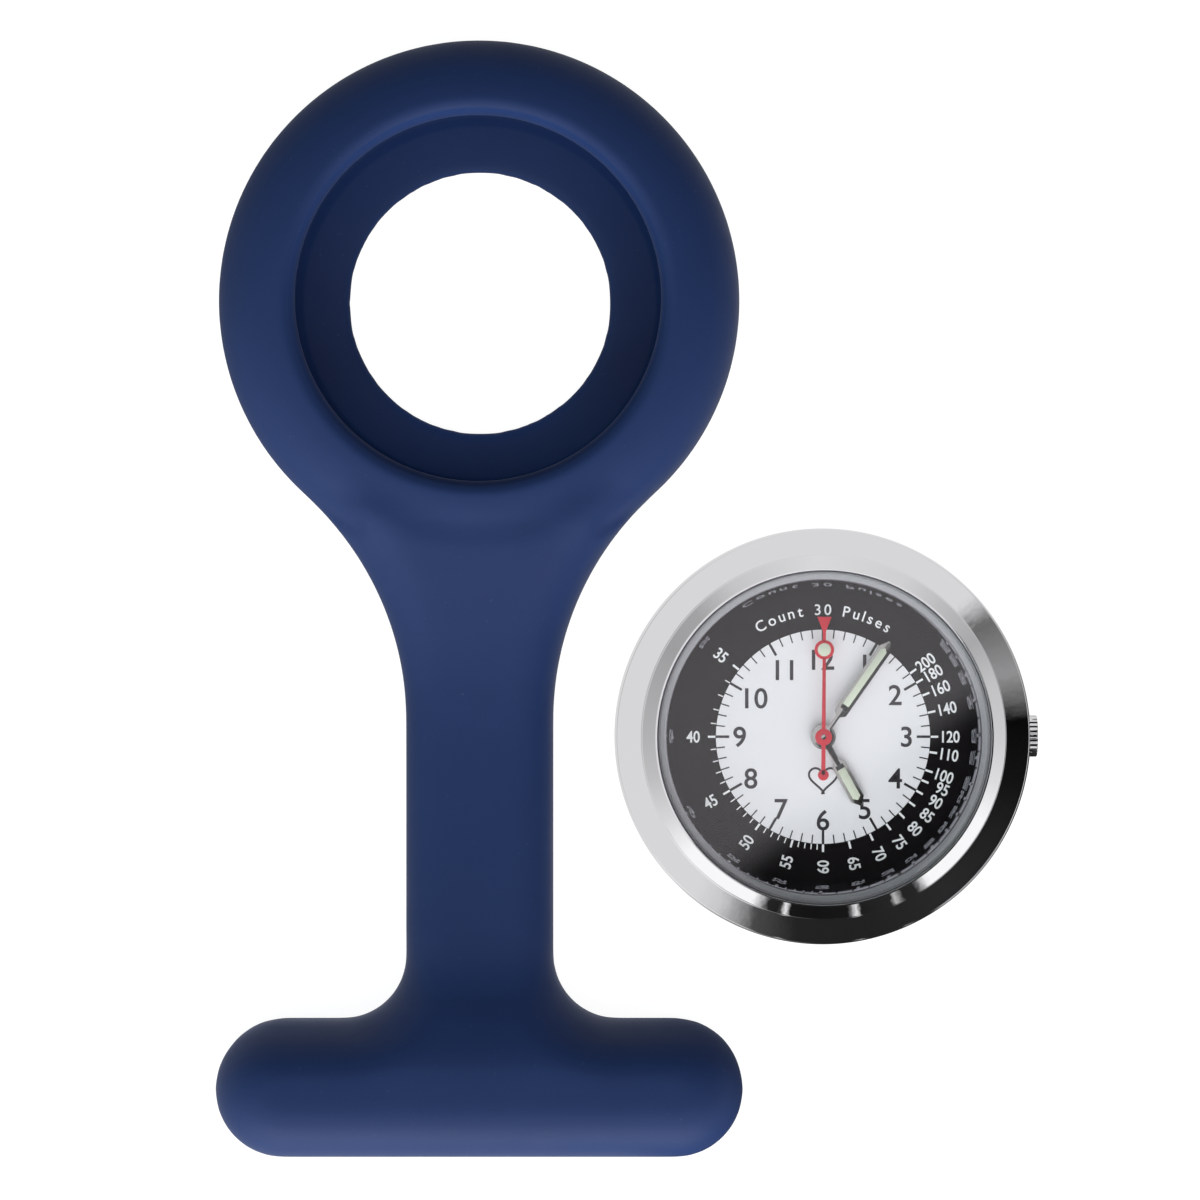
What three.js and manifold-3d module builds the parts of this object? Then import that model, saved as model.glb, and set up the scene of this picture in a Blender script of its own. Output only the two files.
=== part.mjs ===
// A silicone fob watch: the holder with its brooch bar, and the round watch head beside it.
// Millimetres. Both halves lie on the plane z = 0, faces up; +Y points to twelve o'clock.
import * as THREE from 'three';
import { mergeVertices } from 'three/addons/utils/BufferGeometryUtils.js';
import Module from 'manifold-3d';

const wasm = await Module();
wasm.setup();

// ---------- driving dimensions ----------

// Silicone holder, measured from the centre of its ring
const RING_RADIUS = 20.7;
const RING_HEIGHT = 9.6;
const LIP_RADIUS = 14.4;
const POCKET_RADIUS = 16.6;
const POCKET_FLOOR = 1.2;
const POCKET_TOP = 6.9;
const WINDOW_RADIUS = 10.4;
const NECK_WIDTH = 11.75;
const NECK_HEIGHT = 5;
const UPPER_FILLET = 24.2;
const LOWER_FILLET = 5.1;
const BAR_DISTANCE = 62.65;
const BAR_LENGTH = 41.94;
const BAR_WIDTH = 10.8;
const BAR_HEIGHT = 8.4;
const BAR_SLOT = { length: 33, width: 6.4, depth: 4.4 };

// Brooch in the back of the bar, measured from the centre of the bar
const PIN_AXIS_Z = 1.5;
const PIN_HINGE_X = -14;
const PIN_RADIUS = 0.42;
const PIN_TIP_X = 15;
const CATCH = { from: 12.6, to: 15.2, outer: 1.35, inner: 0.95, gap: 0.62 };
const LOCK = { from: 12.3, to: 16, outer: 0.86, inner: 0.56, tab: 1.4 };

// Watch head, measured from the centre of its back
const HEAD_OFFSET = [27.26, -34.6];
const FLANGE_RADIUS = 16.5;
const CRYSTAL_RADIUS = 12.9;
const CRYSTAL_Z = [7.05, 8.6];
const DIAL_RADIUS = 12.8;
const DIAL_Z = [5.1, 5.45];
const PLATE_RADIUS = 8.95;
const PLATE_Z = [4, 4.45];
const BRIDGE_Z = [1.9, 2.2];
const STEM_Z = 3.3;
const STEM_RADIUS = 0.4;
const CROWN = { from: 15.2, to: 17.08, radius: 1.65, cavity: 1.2, floor: 16.3 };

// Wheel train: tooth counts and tooth sizes
const STEP_MODULE = 0.1;
const TRAIN_DISTANCE = 2.09;
const TEETH = {
  rotorPinion: 6, fifthWheel: 30, fifthPinion: 6, fourthWheel: 36, fourthPinion: 8,
  thirdWheel: 60, thirdPinion: 8, centreWheel: 64, cannonPinion: 10, minuteWheel: 30,
  minutePinion: 8, hourWheel: 32, settingWheel: 16,
};
const FIFTH_ANGLE = THREE.MathUtils.degToRad(20);
const ROTOR_ANGLE = THREE.MathUtils.degToRad(-20);
const THIRD_ANGLE = THREE.MathUtils.degToRad(100);

// Hands, clockwise from twelve
const HOUR_HAND_ANGLE = THREE.MathUtils.degToRad(151);
const MINUTE_HAND_ANGLE = THREE.MathUtils.degToRad(35);

// Segments round a full turn
const FINE = 40;
const SMALL = 20;
const TINY = 12;

// ---------- finishes ----------

const FINISHES = {
  silicone: { color: 0x1f2c58, roughness: 0.55, metalness: 0 },
  chrome: { color: 0xd8d8dc, roughness: 0.12, metalness: 1 },
  steel: { color: 0xb4b4b8, roughness: 0.35, metalness: 1 },
  brass: { color: 0xc8a252, roughness: 0.35, metalness: 1 },
  copper: { color: 0xb4632e, roughness: 0.4, metalness: 1 },
  glass: { color: 0xeef2f4, roughness: 0.03, metalness: 0 },
  dial: { color: 0xdedce4, roughness: 0.5, metalness: 0 },
  red: { color: 0xc8233c, roughness: 0.4, metalness: 0 },
  nylon: { color: 0xe8e6de, roughness: 0.6, metalness: 0 },
  black: { color: 0x1a1a1c, roughness: 0.5, metalness: 0 },
  board: { color: 0x2f6b3a, roughness: 0.5, metalness: 0 },
};

// ---------- solids ----------

// Merges a geometry's shared corners, drops triangles without area and turns its faces outwards
function solidOf(geometry) {
  const bare = geometry.clone();
  bare.deleteAttribute('normal');
  bare.deleteAttribute('uv');
  const merged = mergeVertices(bare);
  const place = merged.getAttribute('position');
  const index = merged.getIndex().array;
  const [a, b, c] = [new THREE.Vector3(), new THREE.Vector3(), new THREE.Vector3()];
  const triangles = [];
  let volume = 0;
  for (let i = 0; i < index.length; i += 3) {
    const [p, q, r] = index.slice(i, i + 3);
    if (p === q || q === r || r === p) continue;
    triangles.push([p, q, r]);
    a.fromBufferAttribute(place, p);
    b.fromBufferAttribute(place, q);
    c.fromBufferAttribute(place, r);
    volume += a.dot(b.cross(c));
  }
  if (volume < 0) triangles.forEach((triangle) => triangle.reverse());
  return new wasm.Manifold(new wasm.Mesh({
    numProp: 3,
    vertProperties: new Float32Array(place.array),
    triVerts: new Uint32Array(triangles.flat()),
  }));
}

function geometryOf(solid) {
  const mesh = solid.getMesh();
  const geometry = new THREE.BufferGeometry();
  geometry.setAttribute('position', new THREE.BufferAttribute(mesh.vertProperties, 3));
  geometry.setIndex(new THREE.BufferAttribute(mesh.triVerts, 1));
  geometry.computeVertexNormals();
  return geometry;
}

function join(first, ...others) {
  return geometryOf(others.reduce((sum, next) => sum.add(solidOf(next)), solidOf(first)));
}

function cut(first, ...tools) {
  return geometryOf(tools.reduce((rest, tool) => rest.subtract(solidOf(tool)), solidOf(first)));
}

function overlap(first, second) {
  return geometryOf(solidOf(first).intersect(solidOf(second)));
}

// Turns a closed outline of [radius, z] pairs round the Z axis
function turned(outline, segments = FINE) {
  const points = outline.map(([radius, z]) => new THREE.Vector2(radius, z));
  return new THREE.LatheGeometry(points, segments).rotateX(Math.PI / 2);
}

function rod(radius, from, to, segments = SMALL) {
  return turned([[0, from], [radius, from], [radius, to], [0, to]], segments);
}

function tube(inner, outer, from, to, segments = SMALL) {
  return turned([[inner, from], [outer, from], [outer, to], [inner, to], [inner, from]], segments);
}

function box(x, y, z) {
  const size = [x, y, z].map(([low, high]) => high - low);
  const middle = [x, y, z].map(([low, high]) => (low + high) / 2);
  return new THREE.BoxGeometry(...size).translate(...middle);
}

function slab(shape, from, to, curveSegments = 8) {
  const settings = { depth: to - from, bevelEnabled: false, curveSegments };
  return new THREE.ExtrudeGeometry(shape, settings).translate(0, 0, from);
}

// Lays a solid made round Z along X instead, and lifts it to the given height
function alongX(geometry, height = 0) {
  return geometry.rotateY(Math.PI / 2).translate(0, 0, height);
}

function polygon(points) {
  return new THREE.Shape(points.map(([x, y]) => new THREE.Vector2(x, y)));
}

// A bar with round ends from one point to another
function capsule([ax, ay], [bx, by], radius) {
  const angle = Math.atan2(by - ay, bx - ax);
  const shape = new THREE.Shape();
  shape.absarc(bx, by, radius, angle - Math.PI / 2, angle + Math.PI / 2);
  shape.absarc(ax, ay, radius, angle + Math.PI / 2, angle + 1.5 * Math.PI);
  return shape;
}

// A wheel or pinion with straight-sided, pointed teeth; phase is the direction of one tooth
function gear(teeth, module, phase, from, to, bore = 0) {
  const pitch = (teeth * module) / 2;
  const tip = pitch + 0.9 * module;
  const root = pitch - 1.15 * module;
  const flanks = [[-0.3, root], [0, tip], [0.3, root]];
  const points = [];
  for (let tooth = 0; tooth < teeth; tooth += 1) {
    for (const [share, radius] of flanks) {
      const angle = phase + ((tooth + share) * 2 * Math.PI) / teeth;
      points.push([radius * Math.cos(angle), radius * Math.sin(angle)]);
    }
  }
  const shape = polygon(points);
  if (bore) shape.holes.push(new THREE.Path().absarc(0, 0, bore, 0, 2 * Math.PI, true));
  return slab(shape, from, to, 6);
}

// The phase that puts a gap opposite the tooth of a neighbour lying in the given direction
function facingGap(direction, teeth) {
  return direction + Math.PI + Math.PI / teeth;
}

function polar(radius, angle, [x, y] = [0, 0]) {
  return [x + radius * Math.cos(angle), y + radius * Math.sin(angle)];
}

// ---------- the assembly ----------

const fobWatch = new THREE.Group();
const holder = new THREE.Group();
const brooch = new THREE.Group();
const head = new THREE.Group();

// The origin is the middle of the whole outline, on the plane that both halves lie on
const left = -BAR_LENGTH / 2;
const right = HEAD_OFFSET[0] + CROWN.to;
const bottom = -BAR_DISTANCE - BAR_WIDTH / 2;
const centre = [(left + right) / 2, (bottom + RING_RADIUS) / 2];
holder.position.set(-centre[0], -centre[1], 0);
brooch.position.set(0, -BAR_DISTANCE, 0);
head.position.set(HEAD_OFFSET[0] - centre[0], HEAD_OFFSET[1] - centre[1], 0);
holder.add(brooch);
fobWatch.add(holder, head);

function addPart(group, name, geometry, finish, [x, y] = [0, 0]) {
  const material = new THREE.MeshStandardMaterial(FINISHES[finish]);
  const mesh = new THREE.Mesh(geometryOf(solidOf(geometry)), material);
  mesh.name = name;
  mesh.position.set(x, y, 0);
  group.add(mesh);
}

// ---------- silicone holder ----------

// Neck and bar seen from the front: two pairs of fillets join them to the ring
function neckAndBar() {
  const half = NECK_WIDTH / 2;
  const barRadius = BAR_WIDTH / 2;
  const barTop = -BAR_DISTANCE + barRadius;
  const endX = BAR_LENGTH / 2 - barRadius;
  const reach = RING_RADIUS + UPPER_FILLET;
  const filletX = half + UPPER_FILLET;
  const filletY = -Math.sqrt(reach ** 2 - filletX ** 2);
  const start = Math.atan2(-filletY, -filletX);
  const shape = new THREE.Shape();
  shape.absarc(filletX, filletY, UPPER_FILLET, start, Math.PI, false);
  shape.absarc(half + LOWER_FILLET, barTop + LOWER_FILLET, LOWER_FILLET, Math.PI, 1.5 * Math.PI);
  shape.absarc(endX, -BAR_DISTANCE, barRadius, Math.PI / 2, -Math.PI / 2, true);
  shape.absarc(-endX, -BAR_DISTANCE, barRadius, -Math.PI / 2, -1.5 * Math.PI, true);
  shape.absarc(-half - LOWER_FILLET, barTop + LOWER_FILLET, LOWER_FILLET, -Math.PI / 2, 0);
  shape.absarc(-filletX, filletY, UPPER_FILLET, 0, Math.PI - start, false);
  return slab(shape, 0, RING_HEIGHT, 9);
}

// Side view of the neck and bar as [distance below the ring centre, height]
function sideProfile() {
  const low = BAR_DISTANCE + BAR_WIDTH / 2;
  const top = [
    [13, RING_HEIGHT], [17, RING_HEIGHT], [20, 9.2], [24, 7.7], [28, 6.2], [32, 5.3],
    [36, NECK_HEIGHT], [51, NECK_HEIGHT], [54.5, 5.6], [57.2, 7.1], [59.4, 8.1],
    [61.8, BAR_HEIGHT], [64.2, 8.2], [66.4, 7], [low - 0.3, 5.4], [low, 3.8],
  ];
  const shape = polygon([[13, 0], ...top, [low, 1.6], [low - 0.4, 0.5], [low - 1.2, 0]]);
  return slab(shape, -BAR_LENGTH, BAR_LENGTH).rotateX(Math.PI / 2).rotateZ(-Math.PI / 2);
}

function siliconeHolder() {
  const ring = turned([
    [0, 0], [19.3, 0], [20.3, 0.9], [RING_RADIUS, 2.8], [20.6, 5.4], [19.9, 7.6],
    [18.6, 9.1], [17, RING_HEIGHT], [15.5, 9.4], [LIP_RADIUS, 8.7], [0, 8.7],
  ]);
  const pocket = turned([
    [0, -1], [WINDOW_RADIUS, -1], [WINDOW_RADIUS, POCKET_FLOOR], [POCKET_RADIUS, POCKET_FLOOR],
    [POCKET_RADIUS, POCKET_TOP], [LIP_RADIUS, POCKET_TOP], [LIP_RADIUS, 11], [0, 11],
  ]);
  const { length, width, depth } = BAR_SLOT;
  const slot = box([-length / 2, length / 2], [-width / 2, width / 2], [-1, depth]);
  const body = join(ring, overlap(neckAndBar(), sideProfile()));
  return cut(body, pocket, slot.translate(0, -BAR_DISTANCE, 0));
}

addPart(holder, 'silicone_holder', siliconeHolder(), 'silicone');

// ---------- brooch ----------

function broochPlate() {
  const plate = box([-15.8, 15.8], [-2.7, 2.7], [3.75, 4.3]);
  const ears = [-1, 1].map((side) => {
    const ear = capsule([PIN_HINGE_X, PIN_AXIS_Z], [PIN_HINGE_X, 3.2], 1);
    ear.holes.push(new THREE.Path().absarc(PIN_HINGE_X, PIN_AXIS_Z, 0.36, 0, 2 * Math.PI, true));
    return slab(ear, -0.3, 0.3, 4).rotateX(Math.PI / 2).translate(0, side * 1.3, 0);
  });
  return join(plate, ...ears);
}

function broochPin() {
  const knuckle = tube(0.36, 0.95, -0.85, 0.85, TINY).rotateX(Math.PI / 2);
  const shank = turned([
    [0, 0.7], [PIN_RADIUS, 0.7], [PIN_RADIUS, PIN_TIP_X - PIN_HINGE_X - 2.4],
    [0.05, PIN_TIP_X - PIN_HINGE_X], [0, PIN_TIP_X - PIN_HINGE_X],
  ], TINY);
  return join(knuckle, alongX(shank)).translate(PIN_HINGE_X, 0, PIN_AXIS_Z);
}

function catchHousing() {
  const barrel = alongX(rod(CATCH.outer, CATCH.from, CATCH.to), PIN_AXIS_Z);
  const foot = box([CATCH.from, CATCH.to], [-CATCH.outer, CATCH.outer], [PIN_AXIS_Z, 3.75]);
  const bore = alongX(rod(CATCH.inner, CATCH.from - 1, CATCH.to + 1), PIN_AXIS_Z);
  const gap = box([CATCH.from - 1, CATCH.to + 1], [-CATCH.gap, CATCH.gap], [-1, PIN_AXIS_Z]);
  return cut(join(barrel, foot), bore, gap);
}

function catchLock() {
  const sleeve = alongX(rod(LOCK.outer, LOCK.from, LOCK.to), PIN_AXIS_Z);
  const tab = box([CATCH.to + 0.15, LOCK.to], [-LOCK.tab, -0.2], [PIN_AXIS_Z - 0.3, PIN_AXIS_Z + 0.3]);
  const bore = alongX(rod(LOCK.inner, LOCK.from - 1, LOCK.to + 1), PIN_AXIS_Z);
  const gap = box([LOCK.from - 1, LOCK.to + 1], [-CATCH.gap, CATCH.gap], [-1, PIN_AXIS_Z]);
  return cut(join(sleeve, tab), bore, gap);
}

addPart(brooch, 'brooch_plate', broochPlate(), 'steel');
const rivet = rod(0.32, -1.7, 1.7, TINY).rotateX(Math.PI / 2);
addPart(brooch, 'brooch_rivet', rivet.translate(PIN_HINGE_X, 0, PIN_AXIS_Z), 'steel');
addPart(brooch, 'catch_housing', catchHousing(), 'steel');
addPart(brooch, 'brooch_pin', broochPin(), 'steel');
addPart(brooch, 'catch_lock', catchLock(), 'chrome');

// ---------- watch case ----------

function caseBody() {
  const body = turned([
    [13.05, 1.1], [13.7, 1.1], [13.7, 0.75], [14.6, 0.75], [15.6, 1.5], [16.3, 2.2],
    [FLANGE_RADIUS, 2.9], [FLANGE_RADIUS, 4.6], [16.3, 5.3], [15.8, 5.9], [15.1, 6.25],
    [14.4, 6.45], [14.4, 7.3], [13.25, 8.35], [13.15, 8.35], [13.15, 7], [12.5, 7],
    [12.5, 6.7], [13.05, 6.7], [13.05, 1.1],
  ]);
  const crownRecess = alongX(rod(1.8, 15, 18), STEM_Z);
  const tubeHole = alongX(rod(0.85, 12, 16), STEM_Z);
  return cut(body, crownRecess, tubeHole);
}

const caseBack = turned([
  [0, 0], [13.9, 0], [14.2, 0.3], [14.2, 0.7], [12.95, 0.7], [12.95, 1.6],
  [12.4, 1.6], [12.4, 0.6], [0, 0.6],
]);
const crystal = turned([
  [0, CRYSTAL_Z[0]], [CRYSTAL_RADIUS, CRYSTAL_Z[0]], [CRYSTAL_RADIUS, CRYSTAL_Z[1] - 0.3],
  [CRYSTAL_RADIUS - 0.3, CRYSTAL_Z[1]], [0, CRYSTAL_Z[1]],
]);
const rehaut = turned([[11.55, 5.45], [12.85, 5.45], [12.85, 6.65], [12.4, 6.65], [11.55, 5.45]]);

addPart(head, 'case_body', caseBody(), 'chrome');
addPart(head, 'crystal', crystal, 'glass');
addPart(head, 'crystal_gasket', tube(12.94, 13.1, 7.05, 8.2, FINE), 'black');
addPart(head, 'rehaut_ring', rehaut, 'chrome');
addPart(head, 'dial', tube(0.75, DIAL_RADIUS, ...DIAL_Z, FINE), 'dial');
addPart(head, 'case_back', caseBack, 'steel');
addPart(head, 'back_gasket', tube(13.1, 13.6, 0.74, 1.06, FINE), 'black');
addPart(head, 'case_tube', alongX(tube(0.46, 0.8, 12.95, 16, TINY), STEM_Z), 'steel');

const stemSlot = box([8, 14], [-0.7, 0.7], [2.3, 4]);
const movementRing = cut(tube(9.05, 12.85, 1.65, 5.08, FINE), stemSlot);
addPart(head, 'movement_ring', movementRing, 'nylon');

// ---------- movement: plates, cell and motor ----------

const FIFTH = polar((STEP_MODULE * (TEETH.fifthPinion + TEETH.fourthWheel)) / 2, FIFTH_ANGLE);
const ROTOR_DISTANCE = (STEP_MODULE * (TEETH.rotorPinion + TEETH.fifthWheel)) / 2;
const ROTOR = polar(ROTOR_DISTANCE, ROTOR_ANGLE, FIFTH);
const THIRD = polar(TRAIN_DISTANCE, THIRD_ANGLE);
const MINUTE_WORK = [(STEP_MODULE * (TEETH.cannonPinion + TEETH.minuteWheel)) / 2, 0];
const SETTING_DISTANCE = (STEP_MODULE * (TEETH.minuteWheel + TEETH.settingWheel)) / 2;
const SETTING_WORK = [MINUTE_WORK[0] + SETTING_DISTANCE, 0];
const BRIDGE_SCREWS = [[6.3, 2.6], [0.6, 6.6], [1.3, -3.6]];
const BOARD_STAKE = polar(8, THREE.MathUtils.degToRad(148));
const CELL = [-4.6, -3];
const LEVER_PIVOT = [8.35, 1.6];
const LEVER_PIN_X = 7.9;

function at(geometry, [x, y]) {
  return geometry.translate(x, y, 0);
}

function mainPlate() {
  const posts = BRIDGE_SCREWS.map((place) => at(rod(0.65, BRIDGE_Z[1], 4.1, TINY), place));
  const stake = at(rod(0.3, 1.85, 4.1, TINY), BOARD_STAKE);
  const minutePost = at(rod(0.2, 4.4, 5, TINY), MINUTE_WORK);
  const settingPost = at(rod(0.2, 4.4, 4.8, TINY), SETTING_WORK);
  const threads = BRIDGE_SCREWS.map((place) => at(rod(0.36, 1, 3.3, TINY), place));
  const centreHole = rod(0.42, 3, 5, TINY);
  const clutchWindow = box([4.75, 7.3], [-1.25, 1.25], [3, 5]);
  const body = join(rod(PLATE_RADIUS, ...PLATE_Z, FINE), ...posts, stake, minutePost, settingPost);
  return cut(body, centreHole, clutchWindow, ...threads);
}

function trainBridge() {
  const outline = polygon([
    [7.2, 2.1], [7.1, 3.1], [6.5, 3.6], [1.5, 7.3], [0.5, 7.6], [-0.3, 7.1], [-1.5, 3.2],
    [-1.3, -0.6], [0.4, -4], [1.2, -4.5], [2.1, -4.2],
  ]);
  for (const [x, y] of BRIDGE_SCREWS) {
    outline.holes.push(new THREE.Path().absarc(x, y, 0.36, 0, 2 * Math.PI, true));
  }
  for (const [x, y] of [[0, 0], FIFTH, ROTOR, THIRD]) {
    outline.holes.push(new THREE.Path().absarc(x, y, 0.16, 0, 2 * Math.PI, true));
  }
  return slab(outline, ...BRIDGE_Z, 5);
}

function stator() {
  const outline = polygon([
    [2.3, -4.5], [-0.9, -4.8], [-0.9, -6.8], [-0.25, -6.9], [-0.25, -5.4], [4.65, -5.5],
    [4.65, -6.8], [5.3, -6.9], [5.3, -4.7], [4.75, -4.2], [4.75, 1.5], [2.3, 1.5],
  ]);
  outline.holes.push(new THREE.Path().absarc(...ROTOR, 1.02, 0, 2 * Math.PI, true));
  return slab(outline, 2.65, 2.8, 8);
}

function circuitBoard() {
  const [from, to] = [128, 168].map(THREE.MathUtils.degToRad);
  const shape = new THREE.Shape();
  shape.absarc(0, 0, 8.7, from, to);
  shape.absarc(0, 0, 3.4, to, from, true);
  shape.holes.push(new THREE.Path().absarc(...BOARD_STAKE, 0.36, 0, 2 * Math.PI, true));
  return slab(shape, 2, 2.2, 6);
}

function batteryClamp() {
  const strap = capsule(CELL, BRIDGE_SCREWS[2], 0.75);
  strap.holes.push(new THREE.Path().absarc(...BRIDGE_SCREWS[2], 0.36, 0, 2 * Math.PI, true));
  return slab(strap, 1.76, 1.88, 6);
}

addPart(head, 'main_plate', mainPlate(), 'brass');
addPart(head, 'train_bridge', trainBridge(), 'steel');
BRIDGE_SCREWS.forEach((place, number) => {
  const headZ = number === 2 ? 1.74 : 1.88;
  const screw = join(rod(0.62, headZ - 0.32, headZ, TINY), rod(0.32, headZ - 0.1, 3.1, TINY));
  const slotCut = box([-1, 1], [-0.09, 0.09], [headZ - 0.4, headZ - 0.2]);
  addPart(head, `bridge_screw_${number + 1}`, cut(screw, slotCut), 'steel', place);
});
addPart(head, 'stator', stator(), 'steel');
const coilTube = alongX(tube(0.45, 0.95, -0.15, 4.55, TINY), 2.97);
addPart(head, 'coil', coilTube, 'copper', [0, -6.6]);
addPart(head, 'coil_core', box([-0.9, 5.3], [-0.25, 0.25], [2.82, 3.12]), 'steel', [0, -6.6]);
addPart(head, 'circuit_board', circuitBoard(), 'board');
const quartzCan = alongX(rod(0.6, 4.6, 8.3, TINY), 2.85).rotateZ(THREE.MathUtils.degToRad(157));
addPart(head, 'quartz_can', quartzCan, 'steel');
const chipPlace = polar(6.3, THREE.MathUtils.degToRad(137));
addPart(head, 'ic_chip', box([-0.8, 0.8], [-0.8, 0.8], [2.22, 2.7]), 'black', chipPlace);
addPart(head, 'battery', rod(3.4, 1.95, 3.55, 36), 'steel', CELL);
addPart(head, 'battery_clamp', batteryClamp(), 'steel');

// ---------- movement: wheel train ----------

const FOURTH_MODULE = (2 * TRAIN_DISTANCE) / (TEETH.fourthPinion + TEETH.thirdWheel);
const CENTRE_MODULE = (2 * TRAIN_DISTANCE) / (TEETH.thirdPinion + TEETH.centreWheel);

const rotor = join(
  rod(0.12, 2.25, 3.95, TINY),
  rod(0.85, 2.5, 3, SMALL),
  gear(TEETH.rotorPinion, STEP_MODULE, ROTOR_ANGLE + Math.PI, 3.15, 3.5),
);
const fifthWheel = join(
  rod(0.1, 2.25, 3.95, TINY),
  gear(TEETH.fifthPinion, STEP_MODULE, FIFTH_ANGLE + Math.PI, 2.3, 2.6),
  gear(TEETH.fifthWheel, STEP_MODULE, facingGap(ROTOR_ANGLE + Math.PI, TEETH.fifthWheel), 3.25, 3.4),
);
const fourthWheel = join(
  rod(0.17, 2.25, 6.7, TINY),
  gear(TEETH.fourthWheel, STEP_MODULE, facingGap(FIFTH_ANGLE + Math.PI, TEETH.fourthWheel), 2.35, 2.5),
  gear(TEETH.fourthPinion, FOURTH_MODULE, THIRD_ANGLE, 2.75, 3.1),
);
const thirdWheel = join(
  rod(0.1, 2.25, 3.95, TINY),
  gear(TEETH.thirdWheel, FOURTH_MODULE, facingGap(THIRD_ANGLE, TEETH.thirdWheel), 2.85, 3),
  gear(TEETH.thirdPinion, CENTRE_MODULE, THIRD_ANGLE + Math.PI, 3.5, 3.9),
);
const centrePhase = facingGap(THIRD_ANGLE + Math.PI, TEETH.centreWheel);
const centreWheel = cut(
  join(
    rod(0.36, 3.55, 6.35, TINY),
    gear(TEETH.centreWheel, CENTRE_MODULE, centrePhase, 3.6, 3.75),
    gear(TEETH.cannonPinion, STEP_MODULE, 0, 4.48, 4.68),
  ),
  rod(0.22, 3, 7, TINY),
);
const minuteWheel = cut(
  join(
    gear(TEETH.minuteWheel, STEP_MODULE, facingGap(0, TEETH.minuteWheel), 4.5, 4.65),
    gear(TEETH.minutePinion, STEP_MODULE, Math.PI, 4.6, 4.95),
  ),
  rod(0.25, 4, 6, TINY),
);
const hourPhase = facingGap(Math.PI, TEETH.hourWheel);
const hourWheel = cut(
  join(
    gear(TEETH.hourWheel, STEP_MODULE, hourPhase, 4.75, 4.9),
    rod(0.62, 4.75, 5.95, TINY),
  ),
  rod(0.42, 4, 7, TINY),
);
const settingWheel = gear(TEETH.settingWheel, STEP_MODULE, Math.PI, 4.5, 4.65, 0.26);

addPart(head, 'rotor', rotor, 'steel', ROTOR);
addPart(head, 'fifth_wheel', fifthWheel, 'nylon', FIFTH);
addPart(head, 'fourth_wheel', fourthWheel, 'brass');
addPart(head, 'third_wheel', thirdWheel, 'brass', THIRD);
addPart(head, 'centre_wheel', centreWheel, 'brass');
addPart(head, 'minute_wheel', minuteWheel, 'brass', MINUTE_WORK);
addPart(head, 'hour_wheel', hourWheel, 'brass');
addPart(head, 'setting_wheel', settingWheel, 'steel', SETTING_WORK);

// ---------- hands ----------

// A baton hand pointing to +Y: boss, narrow neck, broad blade and pointed tip
function batonHand({ bore, boss, neck, blade, from, shoulder, tip, z }) {
  const blank = polygon([
    [neck / 2, 0], [neck / 2, from - 0.35], [blade / 2, from], [blade / 2, shoulder], [0, tip],
    [-blade / 2, shoulder], [-blade / 2, from], [-neck / 2, from - 0.35], [-neck / 2, 0],
  ]);
  return cut(join(slab(blank, ...z), rod(boss, ...z)), rod(bore, 0, 9, SMALL));
}

function secondHand(z) {
  const stem = slab(polygon([[-0.17, -3], [0.17, -3], [0.15, 9], [-0.15, 9]]), ...z);
  const pointer = slab(polygon([[-0.17, 8.3], [0.17, 8.3], [0.57, 9.5], [-0.57, 9.5]]), ...z);
  const ring = rod(0.77, ...z).translate(0, 6.9, 0);
  const window = rod(0.52, 0, 9).translate(0, 6.9, 0);
  const tail = rod(0.43, ...z, TINY).translate(0, -3, 0);
  return cut(join(stem, pointer, ring, rod(0.67, ...z), tail), window, rod(0.19, 0, 9, TINY));
}

const hourHand = batonHand({
  bore: 0.64, boss: 1, neck: 0.5, blade: 1.1, from: 2.2, shoulder: 5.7, tip: 6.2, z: [5.8, 5.95],
});
const minuteHand = batonHand({
  bore: 0.38, boss: 0.9, neck: 0.36, blade: 0.95, from: 2, shoulder: 8.6, tip: 9.2, z: [6.15, 6.3],
});
addPart(head, 'hour_hand', hourHand.rotateZ(-HOUR_HAND_ANGLE), 'chrome');
addPart(head, 'minute_hand', minuteHand.rotateZ(-MINUTE_HAND_ANGLE), 'chrome');
addPart(head, 'second_hand', secondHand([6.5, 6.62]), 'red');

// ---------- crown and setting work ----------

const crown = cut(
  alongX(turned([
    [0, CROWN.from], [CROWN.radius, CROWN.from], [CROWN.radius, CROWN.to - 0.2],
    [CROWN.radius - 0.2, CROWN.to], [0, CROWN.to],
  ], SMALL), STEM_Z),
  alongX(rod(CROWN.cavity, CROWN.from - 1, CROWN.floor), STEM_Z),
);
const stem = cut(
  alongX(rod(STEM_RADIUS, 5, CROWN.floor, TINY), STEM_Z),
  alongX(tube(0.22, 1, LEVER_PIN_X - 0.25, LEVER_PIN_X + 0.25, TINY), STEM_Z),
);
const clutch = cut(
  join(
    alongX(gear(12, 0.15, 0, 5.5, 6.3), STEM_Z),
    alongX(rod(0.65, 6.2, 6.8), STEM_Z),
    alongX(rod(1, 6.7, 7.1), STEM_Z),
  ),
  alongX(rod(0.46, 5, 8, TINY), STEM_Z),
);
const lever = join(
  slab(capsule(LEVER_PIVOT, [LEVER_PIN_X, 0], 0.42), 2.4, 2.65, 4),
  at(rod(0.2, 2.6, 3.9, TINY), LEVER_PIVOT),
  at(rod(0.13, 2.6, 3, TINY), [LEVER_PIN_X, 0]),
);

addPart(head, 'crown', crown, 'chrome');
addPart(head, 'stem', stem, 'steel');
addPart(head, 'crown_gasket', alongX(tube(0.86, 1.14, 15.5, 15.9), STEM_Z), 'black');
addPart(head, 'clutch_pinion', clutch, 'steel');
addPart(head, 'setting_lever', lever, 'steel');

export default fobWatch;
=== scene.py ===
"""Fob watch: a silicone holder and its watch head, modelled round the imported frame."""

import math

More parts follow.
